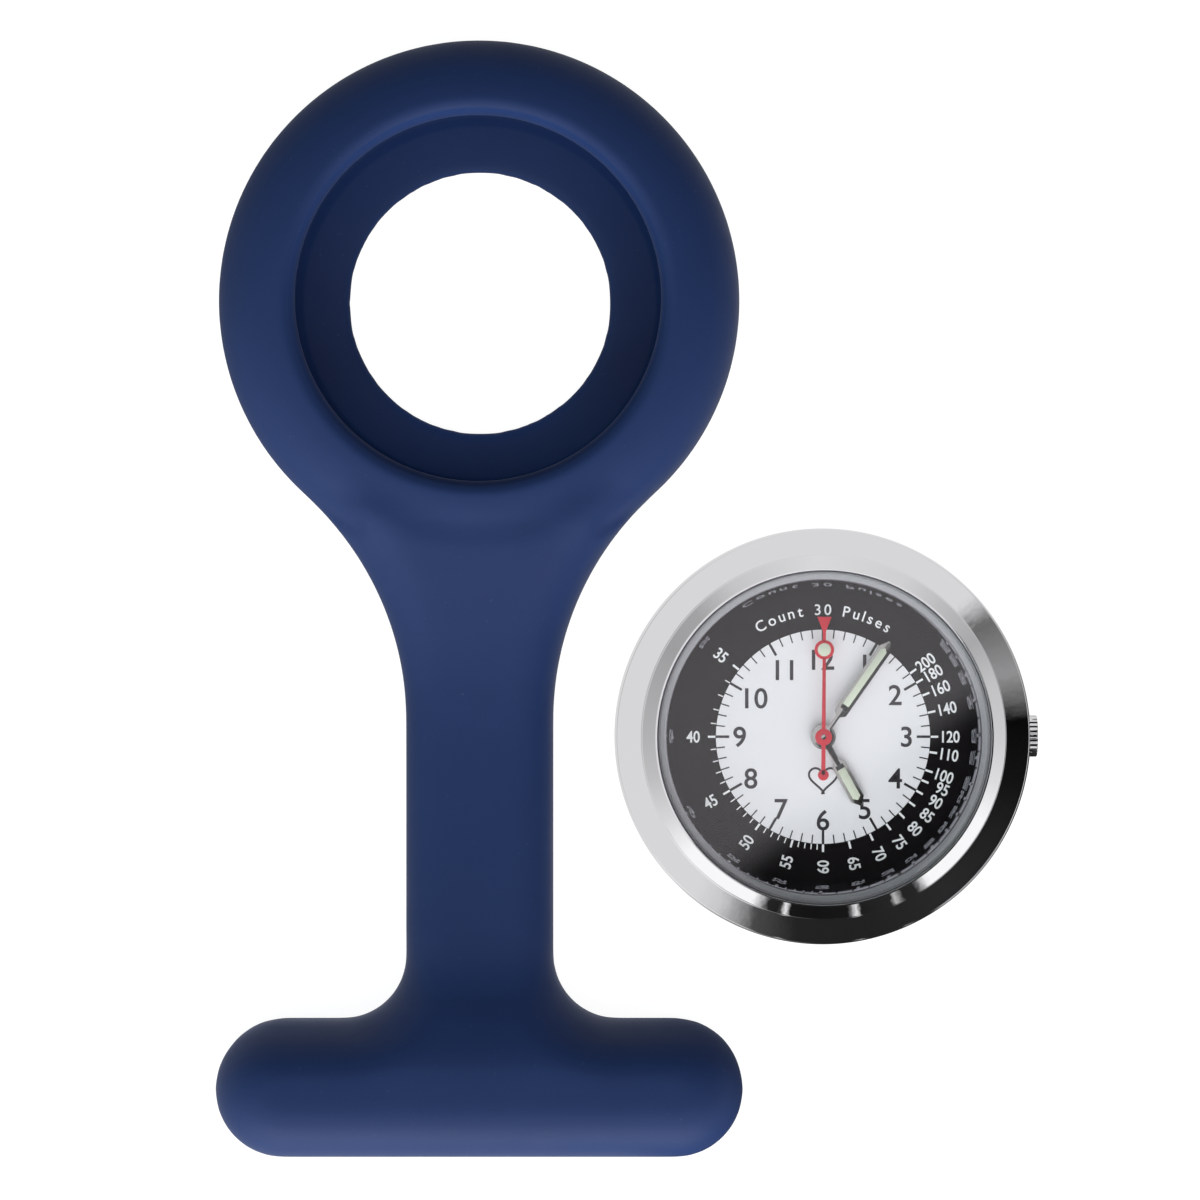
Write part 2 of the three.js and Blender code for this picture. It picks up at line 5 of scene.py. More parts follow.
import bpy
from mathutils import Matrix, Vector


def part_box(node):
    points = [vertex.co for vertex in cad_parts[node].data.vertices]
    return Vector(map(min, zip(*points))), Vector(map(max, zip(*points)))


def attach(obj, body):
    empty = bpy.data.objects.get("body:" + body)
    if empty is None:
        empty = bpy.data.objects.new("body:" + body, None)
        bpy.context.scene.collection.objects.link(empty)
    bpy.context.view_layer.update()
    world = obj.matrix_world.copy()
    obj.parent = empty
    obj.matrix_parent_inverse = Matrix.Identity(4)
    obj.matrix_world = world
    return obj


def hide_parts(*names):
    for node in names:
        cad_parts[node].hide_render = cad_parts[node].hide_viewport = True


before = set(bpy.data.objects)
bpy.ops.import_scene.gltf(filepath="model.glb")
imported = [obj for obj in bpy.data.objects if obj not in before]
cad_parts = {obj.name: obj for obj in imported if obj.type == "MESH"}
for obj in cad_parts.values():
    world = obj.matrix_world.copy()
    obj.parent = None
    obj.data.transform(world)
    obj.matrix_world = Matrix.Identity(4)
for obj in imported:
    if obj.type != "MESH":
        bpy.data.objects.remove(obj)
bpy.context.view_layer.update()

bl_info = {
    "name": "Fob Watch",
    "version": (1, 0, 0),
    "blender": (4, 5, 0),
    "location": "View3D > Sidebar > Fob Watch",
    "description": "Models the holder, case, dial and hands of a nurse's fob watch round its frame",
    "category": "Add Mesh",
}

MM = 0.001
FULL_TURN = 2 * math.pi
HOLDER_LOW, HOLDER_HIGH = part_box("silicone_holder")
GLASS_LOW, GLASS_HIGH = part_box("crystal")
RING_RADIUS = 20.7
BAR_HALF_WIDTH = 5.4
HOLDER_X = (HOLDER_LOW.x + HOLDER_HIGH.x) / 2
RING = Vector((HOLDER_X, HOLDER_HIGH.y - RING_RADIUS * MM, 0))
BAR = Vector((HOLDER_X, HOLDER_LOW.y + BAR_HALF_WIDTH * MM, 0))
HEAD = Vector(((GLASS_LOW.x + GLASS_HIGH.x) / 2, (GLASS_LOW.y + GLASS_HIGH.y) / 2, 0))
DIAL_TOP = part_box("dial")[1].z / MM
INK = 0.012


# ---------------------------------------------------------------- modelling by hand


def deselect():
    """Leaves edit mode and selects nothing."""
    if bpy.context.object and bpy.context.object.mode != "OBJECT":
        bpy.ops.object.mode_set(mode="OBJECT")
    bpy.ops.object.select_all(action="DESELECT")


def pick(*objects):
    """Selects only these objects, the first one active."""
    deselect()
    for obj in objects:
        obj.select_set(True)
    bpy.context.view_layer.objects.active = objects[0]


def edit_all(obj):
    """Opens an object in edit mode with everything selected."""
    pick(obj)
    bpy.ops.object.mode_set(mode="EDIT")
    bpy.ops.mesh.select_all(action="SELECT")


def close_edit():
    """Turns every face outwards and leaves edit mode."""
    bpy.ops.mesh.select_all(action="SELECT")
    bpy.ops.mesh.normals_make_consistent(inside=False)
    bpy.ops.object.mode_set(mode="OBJECT")


def ring_of_corners(name, corners, filled):
    """A circle whose corners are moved to these places, in metres."""
    deselect()
    bpy.ops.mesh.primitive_circle_add(vertices=len(corners), fill_type="NGON" if filled else "NOTHING")
    obj = bpy.context.object
    obj.name = name
    for corner, place in zip(obj.data.vertices, corners):
        corner.co = place
    return obj


def turned(name, profile, centre, steps=160):
    """Spins a closed profile of (radius, height) in millimetres about an upright axis."""
    corners = [(centre.x + radius * MM, centre.y, height * MM) for radius, height in profile]
    obj = ring_of_corners(name, corners, False)
    edit_all(obj)
    bpy.ops.mesh.spin(steps=steps, angle=FULL_TURN, center=(centre.x, centre.y, 0), axis=(0, 0, 1))
    bpy.ops.mesh.select_all(action="SELECT")
    bpy.ops.mesh.remove_doubles(threshold=1e-6)
    bpy.ops.mesh.dissolve_degenerate(threshold=1e-7)
    close_edit()
    return obj


def extrude(obj, way):
    """Thickens a flat shape along a vector in metres."""
    edit_all(obj)
    bpy.ops.mesh.extrude_region_move(TRANSFORM_OT_translate={"value": way})
    close_edit()


def with_modifier(obj, kind, **settings):
    """Adds one modifier with these settings and applies it."""
    pick(obj)
    added = obj.modifiers.new(kind.title(), kind)
    for name, value in settings.items():
        setattr(added, name, value)
    bpy.ops.object.modifier_apply(modifier=added.name)


def bevel(obj, width, segments=2):
    """Rounds the sharp edges, width in millimetres."""
    settings = {"limit_method": "ANGLE", "harden_normals": False}
    with_modifier(obj, "BEVEL", width=width * MM, segments=segments, **settings)


def plate(name, outline, low, high, rounding=0.0, centre=None, angle=0.0):
    """A flat piece from an outline in millimetres, turned clockwise by angle and thickened."""
    centre = HEAD if centre is None else centre
    corners = [at(centre, x, y, low, angle) for x, y in outline]
    obj = ring_of_corners(name, corners, True)
    extrude(obj, (0, 0, (high - low) * MM))
    if rounding:
        bevel(obj, rounding)
    return obj


def at(centre, x, y, z, angle=0.0):
    """A place in metres from millimetres about a centre, turned clockwise by angle in degrees."""
    turn = math.radians(-angle)
    return Vector(
        (
            centre.x + (x * math.cos(turn) - y * math.sin(turn)) * MM,
            centre.y + (x * math.sin(turn) + y * math.cos(turn)) * MM,
            z * MM,
        )
    )


def cut_away(obj, cutter):
    """Takes one solid out of another."""
    with_modifier(obj, "BOOLEAN", object=cutter, operation="DIFFERENCE", solver="EXACT")
    bpy.data.objects.remove(cutter)


def joined(name, objects):
    """Makes one object of several."""
    pick(*objects)
    if len(objects) > 1:
        bpy.ops.object.join()
    obj = bpy.context.object
    obj.name = name
    return obj


def smooth_run(points, per_span=5):
    """Points along one smooth curve through the given ones."""
    ends = [points[0]] + list(points) + [points[-1]]
    run = []
    for four in zip(ends, ends[1:], ends[2:], ends[3:]):
        for step in range(per_span):
            run.append(tuple(eased_between(*numbers, step / per_span) for numbers in zip(*four)))
    return run + [points[-1]]


def eased_between(p, q, r, s, t):
    """A number t of the way from q to r, on the curve that also passes p and s."""
    return 0.5 * (2 * q + (r - p) * t + (2 * p - 5 * q + 4 * r - s) * t * t + (3 * q - p - 3 * r + s) * t**3)


def arc(cx, cy, radius, start, end, steps):
    """Points on an arc, angles in degrees."""
    turn = (end - start) / steps
    return [
        (
            cx + radius * math.cos(math.radians(start + turn * k)),
            cy + radius * math.sin(math.radians(start + turn * k)),
        )
        for k in range(steps + 1)
    ]


def finish_piece(obj, body, finish, nodes=(), flat_angle=35):
    """Gives a piece its finish, shading and body, and hides the parts it replaces."""
    obj.data.materials.clear()
    obj.data.materials.append(finish)
    pick(obj)
    bpy.ops.object.shade_smooth_by_angle(angle=math.radians(flat_angle))
    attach(obj, body)
    if nodes:
        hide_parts(*nodes)
    return obj


# ---------------------------------------------------------------- finishes


class Value:
    """One output in a node tree, on which Python arithmetic adds Math nodes."""

    def __init__(self, board, socket):
        self.board = board
        self.socket = socket

    def __add__(self, other):
        return self.board.math("ADD", self, other)

    def __sub__(self, other):
        return self.board.math("SUBTRACT", self, other)

    def __rsub__(self, other):
        return self.board.math("SUBTRACT", other, self)

    def __mul__(self, other):
        return self.board.math("MULTIPLY", self, other)

    def __truediv__(self, other):
        return self.board.math("DIVIDE", self, other)

    __radd__ = __add__
    __rmul__ = __mul__


class Board:
    """The node tree of one finish, emptied."""

    def __init__(self, tree):
        self.tree = tree
        tree.nodes.clear()

    def node(self, kind, settings=None, sockets=None):
        """Any node, from its type, its settings and what its sockets take."""
        made = self.tree.nodes.new(kind)
        for name, value in (settings or {}).items():
            if name == "stops":
                self.set_stops(made.color_ramp, value)
            else:
                setattr(made, name, value)
        for name, value in (sockets or {}).items():
            if isinstance(value, Value):
                self.tree.links.new(value.socket, made.inputs[name])
            else:
                made.inputs[name].default_value = value
        return made

    def value(self, kind, output, settings=None, sockets=None):
        """The named output of a new node."""
        return Value(self, self.node(kind, settings, sockets).outputs[output])

    def math(self, operation, *values):
        """A Math node on one, two or three values."""
        return self.value("ShaderNodeMath", 0, {"operation": operation}, dict(enumerate(values)))

    def set_stops(self, ramp, stops):
        """Sets a ramp's stops, each a place and a grey or a colour."""
        while len(ramp.elements) > 1:
            ramp.elements.remove(ramp.elements[-1])
        for index, (place, tone) in enumerate(stops):
            stop = ramp.elements[0] if index == 0 else ramp.elements.new(place)
            stop.position = place
            stop.color = colour(tone) if isinstance(tone, tuple) else (tone, tone, tone, 1)

    def ease(self, value, low, high):
        """0 below low, 1 above high and smooth between."""
        settings = {"interpolation_type": "SMOOTHSTEP", "clamp": True}
        sockets = {"Value": value, "From Min": low, "From Max": high, "To Min": 0.0, "To Max": 1.0}
        return self.value("ShaderNodeMapRange", "Result", settings, sockets)

    def mix(self, factor, first, second):
        """A blend of two colours."""
        settings = {"data_type": "RGBA"}
        return self.value("ShaderNodeMix", 2, settings, {0: factor, 6: first, 7: second})

    def place(self):
        """Object coordinates, in metres in the row frame."""
        return self.value("ShaderNodeTexCoord", "Object")

    def noise(self, size, detail=2.0, stretch=None):
        """Noise whose lumps are about size millimetres across."""
        vector = self.place()
        if stretch:
            vector = self.value("ShaderNodeMapping", 0, None, {"Vector": vector, "Scale": stretch})
        sockets = {"Vector": vector, "Scale": 1 / (size * MM), "Detail": detail, "Roughness": 0.55}
        return self.value("ShaderNodeTexNoise", "Fac", None, sockets)

    def bump(self, height, depth):
        """A normal from a height, depth in millimetres."""
        sockets = {"Height": height, "Strength": 1.0, "Distance": depth * MM}
        return self.value("ShaderNodeBump", "Normal", None, sockets)

    def radius(self, centre):
        """Distance from an upright axis, in millimetres."""
        split = self.node("ShaderNodeSeparateXYZ", None, {0: self.place()})
        across = Value(self, split.outputs[0]) - centre.x
        along = Value(self, split.outputs[1]) - centre.y
        return self.math("SQRT", across * across + along * along) / MM

    def principled(self, **sockets):
        """A Principled shader wired to the output. Underscores stand for spaces."""
        named = {name.replace("_", " "): value for name, value in sockets.items()}
        shader = self.value("ShaderNodeBsdfPrincipled", "BSDF", None, named)
        self.node("ShaderNodeOutputMaterial", None, {"Surface": shader})


def linear(level):
    """Linear light from a 0 to 255 screen level."""
    share = level / 255
    return share / 12.92 if share <= 0.04045 else ((share + 0.055) / 1.055) ** 2.4


def colour(levels):
    """A linear colour from three screen levels."""
    return tuple(linear(level) for level in levels) + (1,)


def scaled(tone, share):
    """A colour made lighter or darker."""
    return tuple(min(1.0, level * share) for level in tone[:3]) + (1,)


def new_finish(name):
    """A new material and its board."""
    material = bpy.data.materials.new(name)
    material.use_nodes = True
    return material, Board(material.node_tree)


# Distances from the ring's axis, in millimetres, over which the holder's painted fill light and its roughness
# change.
POCKET_WALL = (14.6, 14.0)
LIP_OUTSIDE, LIP_INSIDE = (15.0, 14.7), (13.9, 14.3)
# How far below the ring's middle the painted fill light in its pocket grows, in metres.
PAINTED_FILL_DROP = (0.004, 0.015)
DUST = (120, 135, 165)
DUST_SPOTS = (0.69, 0.78)


def silicone_finish(base):
    """Matte moulded silicone with a fine grain, faint dust and painted fill light on the low side of its
    pocket.
    """
    material, board = new_finish("navy_silicone")
    cloud = board.noise(9, 3)
    speck = board.ease(board.noise(0.35, 2), *DUST_SPOTS)
    tone = board.mix(cloud, scaled(base, 0.9), scaled(base, 1.1))
    tone = board.mix(speck * 0.06, tone, colour(DUST))
    # Painted fill light: the pocket's low side, which its own wall shades, gets a base colour up to 2.2 times
    # lighter.
    split = board.node("ShaderNodeSeparateXYZ", None, {0: board.place()})
    painted_fill_side = board.ease(Value(board, split.outputs[1]), RING.y - PAINTED_FILL_DROP[0], RING.y - PAINTED_FILL_DROP[1])
    inside = board.ease(board.radius(RING), *POCKET_WALL) * painted_fill_side
    lip = board.ease(board.radius(RING), *LIP_OUTSIDE) * board.ease(board.radius(RING), *LIP_INSIDE)
    tone = board.mix(inside * 0.8, tone, scaled(base, 2.2))
    grain = board.noise(0.12, 3) * 0.6 + board.noise(0.5, 2) * 0.4
    board.principled(
        Base_Color=tone,
        Roughness=board.noise(2.5, 2) * 0.12 + lip * 0.36 + 0.5,
        Specular_IOR_Level=0.2,
        Normal=board.bump(grain, 0.012),
    )
    return material


SHELF_EDGE = (13.2, 13.16)
PLATING, BRUSHED_SHELF = (247, 247, 249), (182, 182, 188)


def chrome_finish():
    """Polished plating with a faint ripple, brushed on the shelf under the glass."""
    material, board = new_finish("polished_chrome")
    radius = board.radius(HEAD)
    shelf = board.ease(radius, *SHELF_EDGE)
    ripple = board.noise(1.6, 2) * 0.7 + board.noise(0.5, 1) * 0.15
    tone = board.mix(shelf, colour(PLATING), colour(BRUSHED_SHELF))
    board.principled(
        Base_Color=tone,
        Metallic=1 - shelf * 0.75,
        Roughness=shelf * 0.4 + board.noise(1.2, 2) * 0.015 + 0.012,
        Normal=board.bump(ripple, 0.012),
    )
    return material


def metal_finish(name, tone, roughness, stretch=None, lump=0.8, depth=0.003):
    """Bare metal with fine working marks."""
    material, board = new_finish(name)
    marks = board.noise(lump, 3, stretch)
    base = colour(tone)
    board.principled(
        Base_Color=board.mix(marks, scaled(base, 0.88), scaled(base, 1.06)),
        Metallic=1.0,
        Roughness=marks * 0.12 + roughness,
        Normal=board.bump(marks, depth),
    )
    return material


def soft_finish(name, tone, roughness=0.5, lump=0.6, depth=0.004, spread=0.08, gloss=0.5):
    """Plastic, rubber, paint or ink with a slight mottle."""
    material, board = new_finish(name)
    mottle = board.noise(lump, 3)
    base = colour(tone)
    board.principled(
        Base_Color=board.mix(mottle, scaled(base, 1 - spread), scaled(base, 1 + spread)),
        Roughness=mottle * 0.1 + roughness,
        Specular_IOR_Level=gloss,
        Normal=board.bump(mottle, depth),
    )
    return material


def glass_finish():
    """Clear glass that reflects by angle, with the faintest smears."""
    material, board = new_finish("clear_glass")
    smear = board.noise(6, 2)
    facing = board.value("ShaderNodeLayerWeight", "Facing", None, {"Blend": 0.5})
    edge = board.math("POWER", facing, 4.0) * 0.6 + 0.04
    clear = board.value("ShaderNodeBsdfTransparent", 0, None, {"Color": (0.985, 0.99, 0.99, 1)})
    shine = board.value("ShaderNodeBsdfGlossy", 0, None, {"Color": (1, 1, 1, 1), "Roughness": 0.015})
    share = edge * (smear * 0.1 + 0.95)
    mixed = board.value("ShaderNodeMixShader", 0, None, {0: share, 1: clear, 2: shine})
    board.node("ShaderNodeOutputMaterial", None, {"Surface": mixed})
    return material


# ---------------------------------------------------------------- holder

# (radius, height) in millimetres. The slope repeats the outside of the profile, for the neck to blend into.
RING_PROFILE = smooth_run(
    [(19.3, 0), (20.3, 0.9), (20.7, 2.8), (20.55, 5.2), (19.9, 6.9), (18.7, 8.3), (17.2, 9.15), (15.9, 9.55)]
    + [(15.3, 9.6), (14.75, 9.3), (14.48, 8.7)]
) + [(14.4, 8.0), (14.4, 6.9), (16.6, 6.9), (16.6, 1.2), (10.4, 1.2), (10.4, 0)]
RING_SLOPE = [(15.3, 9.6), (15.9, 9.55), (17.2, 9.15), (18.7, 8.3), (19.9, 6.9), (20.55, 5.2)]
RING_SLOPE += [(20.7, 3.6), (21.1, 0)]
# How the neck rises out of the ring's slope: millimetres, and degrees either side of the neck's middle line.
JOIN_SOFTNESS = 1.8
JOIN_START = 16.3
JOIN_STEPS = 8
JOIN_FADE = (16.4, 3.2)
FILLET_BY_ANGLE = [(8, 0), (22, 1)]
FADE_BY_ANGLE = [(26, 1), (40, 0)]
FADE_BY_REACH = [(20.2, 0), (21, 1)]
# The mesh of the neck and bar: rings inside the outline, then rows and columns.
RIM_STEPS = (0.1, 0.2, 0.3, 0.4, 0.5)
FIRST_ROW, ROW_GAP, ROWS = 16.5, 0.5, 104
COLUMN_GAP, SIDE_COLUMNS = 1.1, 19
MOST_DROP = 0.98
NECK_HALF_WIDTH = 5.875
BAR_HALF_LENGTH = 20.97
BAR_DROP = 62.65
SHOULDER_RADIUS = 24.2
ARM_RADIUS = 5.1
# (distance below the ring's middle, height) down the middle line, then the rounding of the edges.
BACKBONE = smooth_run(
    [(13, 9.6), (16, 9.5), (18, 9.05), (21, 8.15), (24, 7.2), (28, 6.1), (32, 5.35), (37, 5)]
    + [(50, 5), (54, 5.5), (57, 7), (59.6, 8.1), (62, 8.4), (70, 8.4)]
)
EDGE_ROUNDING = [(13, 4.6), (20, 4.4), (34, 2.6), (50, 2.6), (58, 4.6), (70, 4.6)]


def along(table, place):
    """A value eased between the rows of a table of (place, value)."""
    for (low, first), (high, second) in zip(table, table[1:]):
        if place <= high:
            share = max(0.0, (place - low) / (high - low))
            return first + (second - first) * share
    return table[-1][1]


def neck_outline():
    """Half the outline of the neck and bar, down the right side, about the ring's centre."""
    shoulder_x = NECK_HALF_WIDTH + SHOULDER_RADIUS
    reach = RING_RADIUS + SHOULDER_RADIUS
    shoulder_y = -math.sqrt(reach**2 - shoulder_x**2)
    meet = math.degrees(math.atan2(-shoulder_y, -shoulder_x))
    arm_x = NECK_HALF_WIDTH + ARM_RADIUS
    arm_y = -BAR_DROP + BAR_HALF_WIDTH + ARM_RADIUS
    tip_x = BAR_HALF_LENGTH - BAR_HALF_WIDTH
    side = arc(0, 0, JOIN_START, -88, -48.5, JOIN_STEPS - 1)
    side += arc(shoulder_x, shoulder_y, SHOULDER_RADIUS, meet, 180, 22)
    side += arc(arm_x, arm_y, ARM_RADIUS, 180, 270, 12)
    side += arc(tip_x, -BAR_DROP, BAR_HALF_WIDTH, 90, -90, 28)
    return side


def edge_distance(side, x, y):
    """How far a point is from one side of the outline."""
    nearest = 1e9
    for (ax, ay), (bx, by) in zip(side[JOIN_STEPS:], side[JOIN_STEPS + 1 :]):
        dx, dy = bx - ax, by - ay
        share = ((x - ax) * dx + (y - ay) * dy) / max(1e-12, dx * dx + dy * dy)
        share = min(1.0, max(0.0, share))
        nearest = min(nearest, math.hypot(x - ax - share * dx, y - ay - share * dy))
    return nearest


def crown_height(edge, x, y):
    """The height of the neck and bar in millimetres, blended into the ring's slope near the ring."""
    rounding = along(EDGE_ROUNDING, -y)
    inwards = min(1.0, edge_distance(edge, abs(x), y) / rounding)
    drop = rounding * (1 - math.sqrt(max(0.0, 1 - (1 - inwards) ** 2)))
    own = along(BACKBONE, -y) - min(drop, rounding * MOST_DROP)
    reach = math.hypot(x, y)
    share = min(1.0, max(0.0, (reach - JOIN_FADE[0]) / JOIN_FADE[1]))
    share = share * share * (3 - 2 * share)
    crest = along(RING_SLOPE, reach)
    own = crest * (1 - share) + own * share
    spread = math.degrees(math.atan2(abs(x), -y))
    softness = 0.01 + JOIN_SOFTNESS * share * along(FILLET_BY_ANGLE, spread)
    overlap = max(0.0, 1 - abs(crest - own) / softness)
    raised = max(crest, own) + overlap**2 * softness / 4 - crest
    faded = max(along(FADE_BY_ANGLE, spread), along(FADE_BY_REACH, reach))
    return crest + raised * faded


def neck_and_bar():
    """The neck and bar as one crowned solid."""
    side = neck_outline()
    outline = side + [(-x, y) for x, y in reversed(side)]
    edge = side + [(0, -BAR_DROP - BAR_HALF_WIDTH)]
    obj = ring_of_corners("neck_and_bar", [at(RING, x, y, 0) for x, y in outline], True)
    edit_all(obj)
    for step in RIM_STEPS:
        bpy.ops.mesh.inset(thickness=step * MM, use_even_offset=False)
    for k in range(ROWS):
        bpy.ops.mesh.select_all(action="SELECT")
        bpy.ops.mesh.bisect(plane_co=at(RING, 0, -FIRST_ROW - ROW_GAP * k, 0), plane_no=(0, 1, 0))
    for k in range(-SIDE_COLUMNS, SIDE_COLUMNS + 1):
        bpy.ops.mesh.select_all(action="SELECT")
        bpy.ops.mesh.bisect(plane_co=at(RING, COLUMN_GAP * k, 0, 0), plane_no=(1, 0, 0))
    bpy.ops.object.mode_set(mode="OBJECT")
    for corner in obj.data.vertices:
        x, y = (corner.co.x - RING.x) / MM, (corner.co.y - RING.y) / MM
        corner.co.z = crown_height(edge, x, y) * MM
    edit_all(obj)
    bpy.ops.mesh.select_all(action="DESELECT")
    bpy.ops.mesh.select_mode(type="EDGE")
    bpy.ops.mesh.select_non_manifold(extend=False, use_boundary=True, use_wire=False, use_multi_face=False)
    bpy.ops.mesh.extrude_region_move(TRANSFORM_OT_translate={"value": (0, 0, -MM)})
    bpy.ops.object.mode_set(mode="OBJECT")
    for corner in obj.data.vertices:
        if corner.select:
            corner.co.z = 0
    bpy.ops.object.mode_set(mode="EDIT")
    bpy.ops.mesh.edge_face_add()
    close_edit()
    return obj


def box_piece(name, low, high):
    """A block between two corners, in metres, for cutting."""
    deselect()
    middle = [(a + b) / 2 for a, b in zip(low, high)]
    bpy.ops.mesh.primitive_cube_add(size=1, location=middle, scale=[b - a for a, b in zip(low, high)])
    obj = bpy.context.object
    obj.name = name
    bpy.ops.object.transform_apply(location=True, rotation=True, scale=True)
    return obj


SLOT_LOW, SLOT_HIGH = (-16.5, -3.2, -1), (16.5, 3.2, 4.4)
LEAST_LENGTH = 0.95
SOFT_EDGE = 80


class FOBWATCH_OT_holder(bpy.types.Operator):
    """Model the silicone holder"""

    bl_idname = "fobwatch.holder"
    bl_label = "Silicone Holder"

    def execute(self, context):
        sizes = context.scene.fob_watch
        ring = turned("ring", RING_PROFILE, RING, 180)
        body = neck_and_bar()
        obj = joined("holder_moulding", [ring, body])
        grid = sizes.holder_grid * MM
        with_modifier(obj, "REMESH", mode="VOXEL", voxel_size=grid, use_smooth_shade=True)
        with_modifier(obj, "SMOOTH", factor=0.5, iterations=sizes.holder_softening)
        cut_away(obj, box_piece("slot", at(BAR, *SLOT_LOW), at(BAR, *SLOT_HIGH)))
        if obj.dimensions.y < LEAST_LENGTH * (HOLDER_HIGH.y - HOLDER_LOW.y):
            raise RuntimeError("the holder lost its neck")
        finish = silicone_finish(tuple(sizes.silicone_colour) + (1,))
        obj.visible_glossy = False
        finish_piece(obj, "holder", finish, ["silicone_holder"], SOFT_EDGE)
        return {"FINISHED"}


# ---------------------------------------------------------------- case and crown

# (radius, height) in millimetres, from the back round the outside to the glass and down the bore.
FLANGE = smooth_run([(13.7, 0.75), (14.6, 0.75), (15.6, 1.5), (16.3, 2.2), (16.5, 2.9), (16.5, 4.6)], 3)
FLANGE += [(16.46, 5.1), (16.35, 5.5)]
FLANGE += smooth_run([(16.31, 5.55), (15.8, 5.85), (15.1, 6.2), (14.45, 6.45)], 8)
BEZEL = [(14.4, 6.5), (14.38, 7.26), (14.3, 7.38), (14.27, 7.408)]
BEZEL += [(13.33, 8.272), (13.3, 8.3), (13.24, 8.33), (13.18, 8.33)]
CASE_BORE = [(13.15, 8.25), (13.15, 7), (12.5, 7), (12.5, 6.7), (13.05, 6.7), (13.05, 1.1), (13.7, 1.1)]
CROWN_HEIGHT = 3.3
CROWN_RADIUS = 1.65
RIDGES = 26
RIDGE_DEPTH = 0.14
CROWN_REACH, CROWN_LENGTH = 15.2, 1.88
FACE_RADIUS, FACE_LOW, FACE_HIGH = 1.3, 16.6, 17.078
RECESS_RADIUS, TUBE_RADIUS = 1.8, 0.85


def rod_along_x(name, radius, low, high, sides=48):
    """A round bar along X at the crown's height, from low to high."""
    turns = [FULL_TURN * k / sides for k in range(sides)]
    corners = [at(HEAD, low, radius * math.cos(t), CROWN_HEIGHT + radius * math.sin(t)) for t in turns]
    obj = ring_of_corners(name, corners, True)
    extrude(obj, ((high - low) * MM, 0, 0))
    return obj


def knurled_crown():
    """The crown, ridged round its edge."""
    corners = []
    for k in range(RIDGES * 4):
        radius = CROWN_RADIUS - (RIDGE_DEPTH if k % 4 in (2, 3) else 0.0)
        turn = FULL_TURN * k / (RIDGES * 4)
        y, z = radius * math.cos(turn), CROWN_HEIGHT + radius * math.sin(turn)
        corners.append(at(HEAD, CROWN_REACH, y, z))
    obj = ring_of_corners("winding_crown", corners, True)
    extrude(obj, (CROWN_LENGTH * MM, 0, 0))
    bevel(obj, 0.05, 2)
    dome = rod_along_x("crown_face", FACE_RADIUS, FACE_LOW, FACE_HIGH)
    bevel(dome, 0.02, 2)
    return joined("winding_crown", [obj, dome])


class FOBWATCH_OT_case(bpy.types.Operator):
    """Model the polished case body and the crown"""

    bl_idname = "fobwatch.case"
    bl_label = "Case and Crown"

    def execute(self, context):
        chrome = chrome_finish()
        case = turned("polished_case", FLANGE + BEZEL + CASE_BORE, HEAD, 240)
        cut_away(case, rod_along_x("recess", RECESS_RADIUS, 15, 18))
        cut_away(case, rod_along_x("tube_hole", TUBE_RADIUS, 12, 18))
        finish_piece(case, "head", chrome, ["case_body"], 40)
        finish_piece(knurled_crown(), "crown", chrome, ["crown"], 30)
        return {"FINISHED"}


# ---------------------------------------------------------------- glass and dial

GLASS_PROFILE = [(0, 7.06), (12.9, 7.06), (12.9, 8.3), (12.82, 8.42), (12.6, 8.59), (0, 8.59)]
GASKET_PROFILE = [(12.93, 7.06), (13.11, 7.06), (13.11, 8.0), (13.02, 8.08), (12.93, 8.0)]


class FOBWATCH_OT_glass(bpy.types.Operator):
    """Model the glass and its gasket"""

    bl_idname = "fobwatch.glass"
    bl_label = "Glass"

    def execute(self, context):
        glass = turned("watch_glass", GLASS_PROFILE, HEAD, 192)
        finish_piece(glass, "head", glass_finish(), ["crystal"], 25)
        gasket = turned("glass_gasket", GASKET_PROFILE, HEAD)
        rubber = soft_finish("grey_seal", (120, 120, 124), 0.5)
        finish_piece(gasket, "head", rubber, ["crystal_gasket"])
        return {"FINISHED"}


WHITE_RADIUS = 8.48
DIAL_RADIUS = 12.8
REHAUT_SLOPE = [(12.84, 6.65), (12.44, 6.65), (12.4, 6.62), (12.39, 6.606), (11.59, 5.52)]


class FOBWATCH_OT_dial(bpy.types.Operator):
    """Model the dial, its charcoal ring and the polished ring round it"""

    bl_idname = "fobwatch.dial"
    bl_label = "Dial"

    def execute(self, context):
        sizes = context.scene.fob_watch
        white = dial_white_finish(tuple(sizes.dial_colour))
        outline = [(0.75, 5.1), (DIAL_RADIUS, 5.1), (DIAL_RADIUS, DIAL_TOP), (0.8, DIAL_TOP)]
        face = turned("dial_disc", outline, HEAD, 160)
        finish_piece(face, "head", white, ["dial"])
        charcoal = soft_finish("charcoal_print", (21, 18, 20), 0.6, 0.6, 0.0002, 0.06, 0.04)
        top = DIAL_TOP + INK
        outline = [(WHITE_RADIUS, DIAL_TOP), (DIAL_RADIUS, DIAL_TOP), (DIAL_RADIUS, top), (WHITE_RADIUS, top)]
        ring = turned("charcoal_ring", outline, HEAD, 200)
        finish_piece(ring, "head", charcoal)
        foot = DIAL_TOP + 2 * INK
        outline = [(11.56, foot), (12.84, foot)] + REHAUT_SLOPE
        rehaut = turned("polished_ring", outline, HEAD, 200)
        silver = metal_finish("silver_ring", (160, 160, 166), 0.0, None, 2.5, 0.0005)
        finish_piece(rehaut, "head", silver, ["rehaut_ring"])
        return {"FINISHED"}


def dial_white_finish(levels):
    """Satin white dial paint."""
    material, board = new_finish("dial_white")
    fleck = board.noise(0.15, 2)
    base = levels + (1,)
    board.principled(
        Base_Color=board.mix(fleck, scaled(base, 0.97), scaled(base, 1.02)),
        Roughness=fleck * 0.1 + 0.4,
        Specular_IOR_Level=0.3,
        Normal=board.bump(fleck, 0.001),
    )
    return material


# ---------------------------------------------------------------- printing


